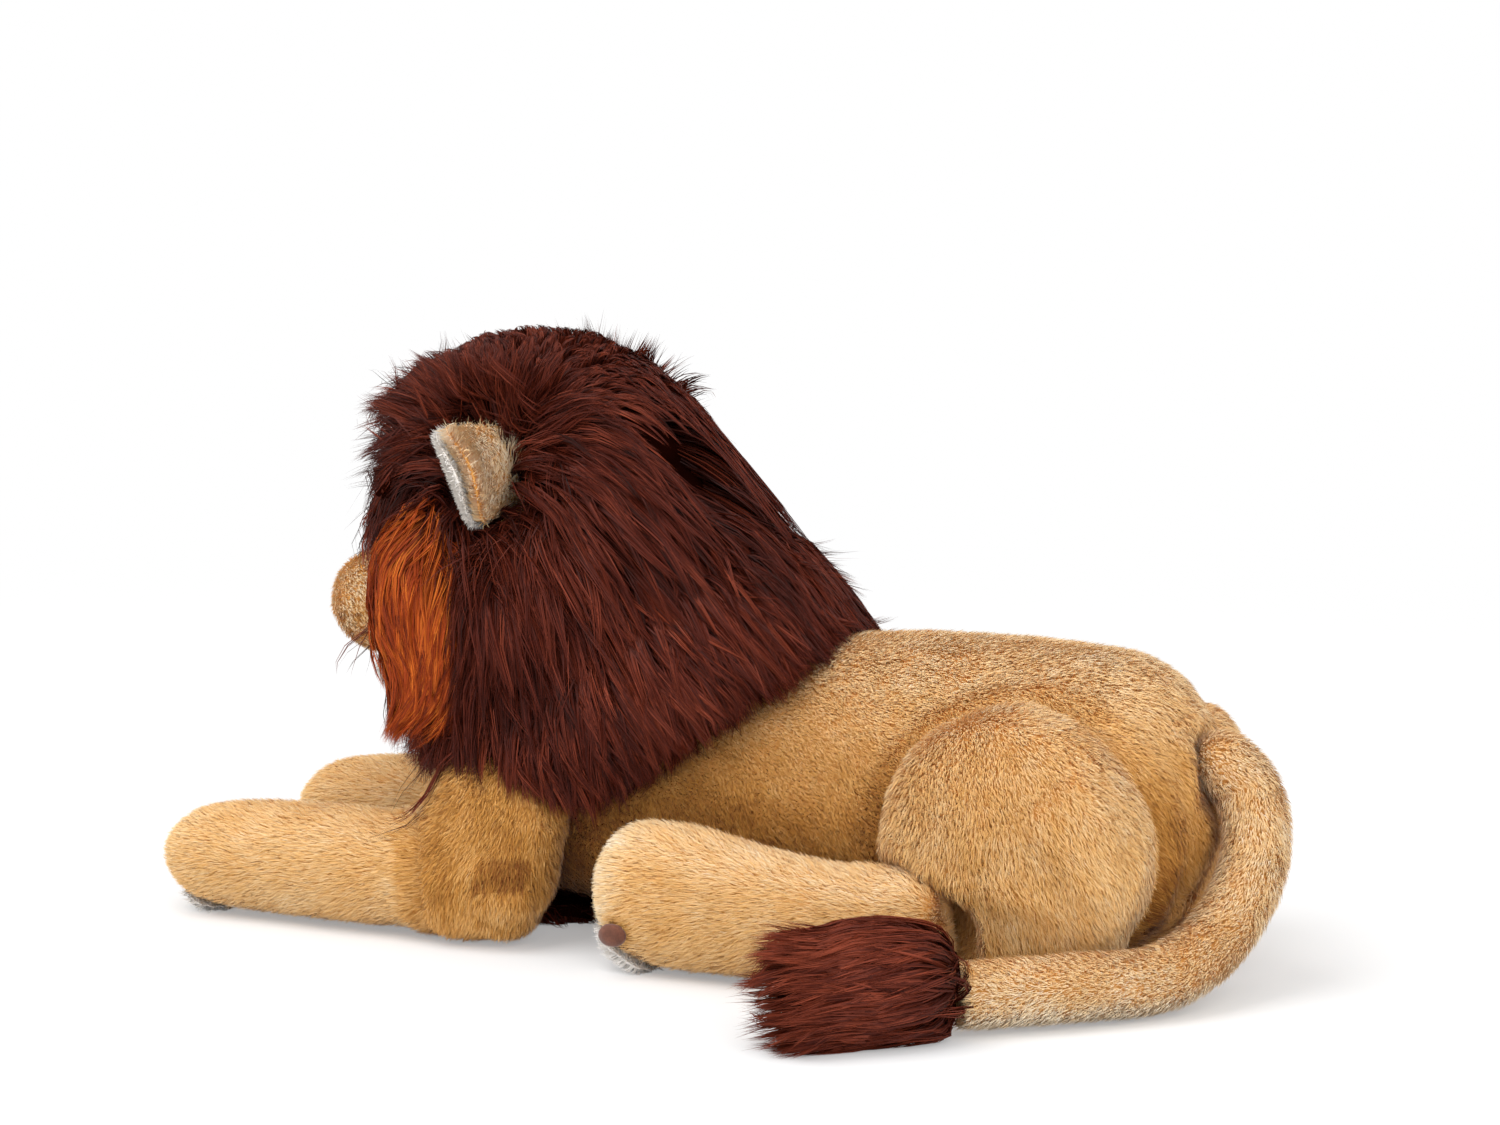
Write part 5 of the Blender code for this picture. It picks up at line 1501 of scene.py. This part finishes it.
class LION_OT_mane(bpy.types.Operator):
    """Make the mane: crown, ruff, chest hair and the rust hair beside the face"""

    bl_idname = "lion.mane"
    bl_label = "Mane"

    def execute(self, context):
        cheeks = cad_tree([f"cheek_hair_{hand}" for hand in SIDES])

        def off_cheeks(points):
            return signed_depth(cheeks, points)[0]

        envelope = joined_depth(["mane_crown", "mane_ruff"], FACE_RIM_X)
        mane_crown(off_cheeks, envelope)
        for hand, side in SIDES.items():
            ear_hair(hand, side, envelope)
        mane_ruff(envelope)
        chest_hair()
        for hand, side in SIDES.items():
            cheek_hair(hand, side)
        return {"FINISHED"}


def mane_tone(points, normals):
    """The mane's tone, a little lighter on top of the head."""
    return 0.46 + 0.06 * smooth_step(0.19, 0.235, points[:, 2]) + 0.12 * ripple(points, 0.03, 81)


def dark_pile(name, cloth, body, envelope, flow, count, seed, pile=None, **comb):
    """Long mane pile, of the mane's length unless another is given."""
    sizes = bpy.context.scene.lion_sizes
    long_pile(
        name, cloth, body, "mane_pile", mane_pile_material(), envelope, flow, mane_tone,
        pile or sizes.mane_pile, sizes.strand_width, count, seed, **comb,
    )


def dark_backing(node_name, body, voxel, inset, rounds, envelope=None, sunk=0.0, deeper=None):
    """The backing that some long dark pile grows from."""
    made = stuffed_form(f"{node_name}_backing", (node_name,), voxel, inset, 0, rounds=rounds, deeper=deeper)
    if envelope is not None:
        sink(made, envelope, sunk)
    dress(made, mane_backing_material(), body, (node_name,))
    return Cloth(made)


def outer(middle, hidden):
    """A weight that is small where a backing faces a middle point, from the hidden share of facing on."""
    def weight(points, ways):
        facing = (unit(points - middle) * ways).sum(axis=1)
        return smooth_step(hidden, hidden + 0.5, facing) + 0.001

    return weight


def from_ear(points, below=0.0):
    """Distance from the ears, or from a place below them, as seen from the side."""
    return np.hypot(points[:, 0] - EAR_X, points[:, 2] - EAR_Z + below)


def mane_crown(off_cheeks, envelope):
    """The hair on the head, which hangs over the ruff and leaves room for the ears and the rust hair."""
    voxel, inset, smoothing, sunk, strands = 0.0040, 0.0090, 6, 0.0065, 90000
    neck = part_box("mane_crown")[0][2]
    facing_out = outer(HEAD_MIDDLE, -0.6)

    def deeper(points, normals):
        near_ear = smooth_step(0.036, 0.020, from_ear(points))
        near_cheek = smooth_step(0.014, 0.003, off_cheeks(points))
        near_neck = smooth_step(0.020, 0.0, np.abs(points[:, 2] - neck))
        return 0.005 * np.maximum(near_ear, near_neck) + 0.007 * near_cheek

    def weight(points, ways):
        top = smooth_step(0.195, 0.225, points[:, 2])
        below_ear = smooth_step(0.030, 0.014, from_ear(points, 0.55 * EAR_HEIGHT))
        return facing_out(points, ways) * (1 + 0.9 * top + 2.5 * below_ear)

    def longer(points):
        behind = smooth_step(EAR_X + 0.02, EAR_X + 0.06, points[:, 0])
        return 1 + 0.6 * smooth_step(0.050, 0.005, points[:, 2] - neck) + 0.35 * behind

    cloth = dark_backing("mane_crown", "head", voxel, inset, smoothing, envelope, sunk, deeper)
    into_cheeks = 0.005
    avoid = [(off_cheeks, -into_cheeks)] + [(ear_room(hand), EAR_CLEARANCE) for hand in SIDES]
    dark_pile(
        "mane_crown_pile", cloth, "head", envelope, mane_flow, strands, 82, weight=weight, avoid=avoid,
        overhang=0.011, stretch=longer,
    )


def ear_hair(hand, side, envelope):
    """Hair rooted on the head all round one ear."""
    strands, margin, out_from = 6000, 0.003, 0.022
    ear = [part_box(f"{layer}_{hand}") for layer in ("ear_back", "ear_lining")]

    def near_ear(points, ways):
        beside = (points[:, 1] - SPINE_Y) * side > out_from
        under = np.zeros(len(points), bool)
        for low, high in ear:
            under |= ((points > np.array(low) - margin) & (points < np.array(high) + margin)).all(axis=1)
        return (beside & ~under) * smooth_step(0.032, 0.022, from_ear(points)) + 1e-9

    dark_pile(
        f"ear_hair_pile_{hand}", Cloth(bpy.data.objects["head"]), "head", envelope, mane_flow, strands, 87,
        lift=1.5, weight=near_ear, gather=0.5, avoid=[(ear_room(hand), EAR_CLEARANCE)],
    )


def mane_ruff(envelope):
    """The hair round the neck and over the shoulders."""
    voxel, inset, smoothing, sunk, strands = 0.0040, 0.0080, 8, 0.0085, 62000
    middle = np.array([-0.06, SPINE_Y, 0.09])
    crown_space = cad_tree(["mane_crown"])

    def deeper(points, normals):
        return 0.003 * smooth_step(0.026, 0.004, signed_depth(crown_space, points)[0])

    cloth = dark_backing("mane_ruff", "torso", voxel, inset, smoothing, envelope, sunk, deeper)
    dark_pile(
        "mane_ruff_pile", cloth, "torso", envelope, mane_flow, strands, 83, weight=outer(middle, -0.85),
    )


def chest_hair():
    """The hair from the chest down to the floor."""
    voxel, inset, smoothing, pile, strands = 0.0030, 0.0060, 4, 0.04, 12000
    dark_pile(
        "chest_hair_pile", dark_backing("chest_hair", "torso", voxel, inset, smoothing), "torso",
        depth_in(cad_tree(["chest_hair"])), steady(0.35, 0, -1), strands, 84, pile=pile, lift=0.5,
    )


def cheek_hair(hand, side):
    """The rust hair beside the face, between its two outlines."""
    node_name = f"cheek_hair_{hand}"
    voxel, inset, smoothing, strands = 0.0026, 0.0050, 4, 15000
    sizes = bpy.context.scene.lion_sizes
    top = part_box(node_name)[1][2]

    def narrower(points, normals):
        return 0.009 * smooth_step(-0.004, 0.006, before_cheek(points))

    def tone(points, normals):
        low = smooth_step(0.120, 0.085, points[:, 2])
        high = smooth_step(top - 0.012, top, points[:, 2])
        return 0.42 - 0.18 * low - 0.16 * high + 0.10 * ripple(points, 0.010, 85)

    def weight(points, ways):
        return smooth_step(0.007, 0.001, before_cheek(points)) + 1e-6

    backing = stuffed_form(
        f"cheek_hair_backing_{hand}", (node_name,), voxel, inset, 0, rounds=smoothing, deeper=narrower,
    )
    dress(backing, mane_backing_material(), "head", (node_name,))
    long_pile(
        f"cheek_hair_pile_{hand}", Cloth(backing), "head", "rust_pile", rust_pile_material(),
        depth_in(cad_tree([node_name])), cheek_flow(side), tone, sizes.cheek_pile, sizes.strand_width,
        strands, 86, lift=0.45, inset=inset, overhang=0.013, weight=weight, proud=standing(0.002),
    )


# Studio


class LION_OT_studio(bpy.types.Operator):
    """Make the white floor, the soft lights and the camera at the photograph's angle"""

    bl_idname = "lion.studio"
    bl_label = "Studio"

    def execute(self, context):
        scene = context.scene
        scene.view_settings.view_transform = "Standard"
        shape = bmesh.new()
        bmesh.ops.create_circle(shape, cap_ends=True, segments=96, radius=14.0)
        mesh = bpy.data.meshes.new("studio_floor")
        shape.to_mesh(mesh)
        shape.free()
        floor = bpy.data.objects.new("studio_floor", mesh)
        scene.collection.objects.link(floor)
        mesh.materials.append(floor_material("painted_studio_floor"))

        world = scene.world or bpy.data.worlds.new("studio")
        scene.world = world
        world.use_nodes = True
        tree = world.node_tree
        tree.nodes.clear()
        ray = node(tree, "ShaderNodeLightPath")
        seen = node(
            tree, "ShaderNodeMath", {"operation": "MAXIMUM"},
            {0: (ray, "Is Camera Ray"), 1: (ray, "Is Glossy Ray")},
        )
        seen = node(
            tree, "ShaderNodeMath", {"operation": "MAXIMUM"},
            {0: (seen, "Value"), 1: (ray, "Is Transmission Ray")},
        )
        soft = node(tree, "ShaderNodeBackground", {"Color": (1, 1, 1, 1), "Strength": 0.85})
        white = node(tree, "ShaderNodeBackground", {"Color": (1, 1, 1, 1), "Strength": 1.0})
        both = node(
            tree, "ShaderNodeMixShader", None,
            {0: (seen, "Value"), 1: (soft, "Background"), 2: (white, "Background")},
        )
        node(tree, "ShaderNodeOutputWorld", None, {"Surface": (both, "Shader")})

        for name, place, size, power in (
            ("softbox_above", (-0.45, -0.75, 1.55), 1.3, 16.0),
            ("softbox_fill", (1.2, -1.1, 0.9), 1.2, 10.0),
        ):
            light = bpy.data.lights.new(name, "AREA")
            light.shape, light.size, light.energy = "SQUARE", size, power
            lamp = bpy.data.objects.new(name, light)
            scene.collection.objects.link(lamp)
            lamp.location = place
            towards = Vector((0, SPINE_Y, 0.08)) - Vector(place)
            lamp.rotation_euler = towards.to_track_quat("-Z", "Y").to_euler()

        azimuth, elevation, distance = math.radians(25), math.radians(10), 2.0
        pixels, focal = 1500.0, 5000.0
        aim = Vector((HEAD_MIDDLE[0] + 0.095, SPINE_Y, 0.10))
        level = math.cos(elevation)
        back = Vector((math.sin(azimuth) * level, -math.cos(azimuth) * level, math.sin(elevation)))
        right = Vector((math.cos(azimuth), math.sin(azimuth), 0))
        up = back.cross(right)
        place = aim + distance * back
        centre = aim + up * (125.5 * distance / focal) - right * (4.0 * distance / focal)
        lens = bpy.data.cameras.new("camera")
        lens.sensor_width = 36.0
        lens.lens = 36.0 * focal / pixels
        lens.clip_end = 100
        camera = bpy.data.objects.new("camera", lens)
        scene.collection.objects.link(camera)
        camera.location = place
        camera.rotation_euler = (centre - place).to_track_quat("-Z", "Y").to_euler()
        scene.camera = camera
        return {"FINISHED"}


def floor_material(name):
    """Matt white painted floor, lit to white away from the object and left to take its soft shadow."""
    made = new_material(name)
    tree = made.node_tree
    matt = node(tree, "ShaderNodeBsdfDiffuse", {"Color": (0.93, 0.93, 0.93, 1)})
    glow = node(tree, "ShaderNodeEmission", {"Color": (1, 1, 1, 1), "Strength": 1.0})
    ray = node(tree, "ShaderNodeLightPath")
    place = node(tree, "ShaderNodeTexCoord")
    out = node(tree, "ShaderNodeVectorMath", {"operation": "LENGTH"}, {0: (place, "Object")})
    rim = node(
        tree, "ShaderNodeMapRange",
        {"interpolation_type": "SMOOTHSTEP", "From Min": 0.35, "From Max": 1.1, "To Min": 0.3},
        {"Value": (out, "Value")},
    )
    share = node(
        tree, "ShaderNodeMath", {"operation": "MULTIPLY"}, {0: (ray, "Is Camera Ray"), 1: (rim, "Result")},
    )
    mixed = node(
        tree, "ShaderNodeMixShader", None, {0: (share, "Value"), 1: (matt, "BSDF"), 2: (glow, "Emission")},
    )
    node(tree, "ShaderNodeOutputMaterial", None, {"Surface": (mixed, "Shader")})
    return made


# Add-on


PIECES = (
    LION_OT_body, LION_OT_forelegs, LION_OT_hind_legs, LION_OT_tail, LION_OT_head, LION_OT_face, LION_OT_ears,
    LION_OT_mane, LION_OT_studio,
)


class LION_PT_pieces(bpy.types.Panel):
    """The lion's pieces, sizes and colours"""

    bl_label = "Plush lion"
    bl_idname = "LION_PT_pieces"
    bl_space_type = "VIEW_3D"
    bl_region_type = "UI"
    bl_category = "Plush lion"

    def draw(self, context):
        column = self.layout.column(align=True)
        for piece in PIECES:
            column.operator(piece.bl_idname)
        for group in (context.scene.lion_sizes, context.scene.lion_colours):
            column = self.layout.column(align=True)
            for name in group.__annotations__:
                column.prop(group, name)


CLASSES = (LionSizes, LionColours) + PIECES + (LION_PT_pieces,)


def register():
    for made in CLASSES:
        bpy.utils.register_class(made)
    bpy.types.Scene.lion_sizes = PointerProperty(type=LionSizes)
    bpy.types.Scene.lion_colours = PointerProperty(type=LionColours)


def unregister():
    del bpy.types.Scene.lion_colours
    del bpy.types.Scene.lion_sizes
    for made in reversed(CLASSES):
        bpy.utils.unregister_class(made)


def main():
    register()
    bpy.ops.lion.body()
    bpy.ops.lion.forelegs()
    bpy.ops.lion.hind_legs()
    bpy.ops.lion.tail()
    bpy.ops.lion.head()
    bpy.ops.lion.face()
    bpy.ops.lion.ears()
    bpy.ops.lion.mane()
    bpy.ops.lion.studio()


if __name__ == "__main__":
    main()
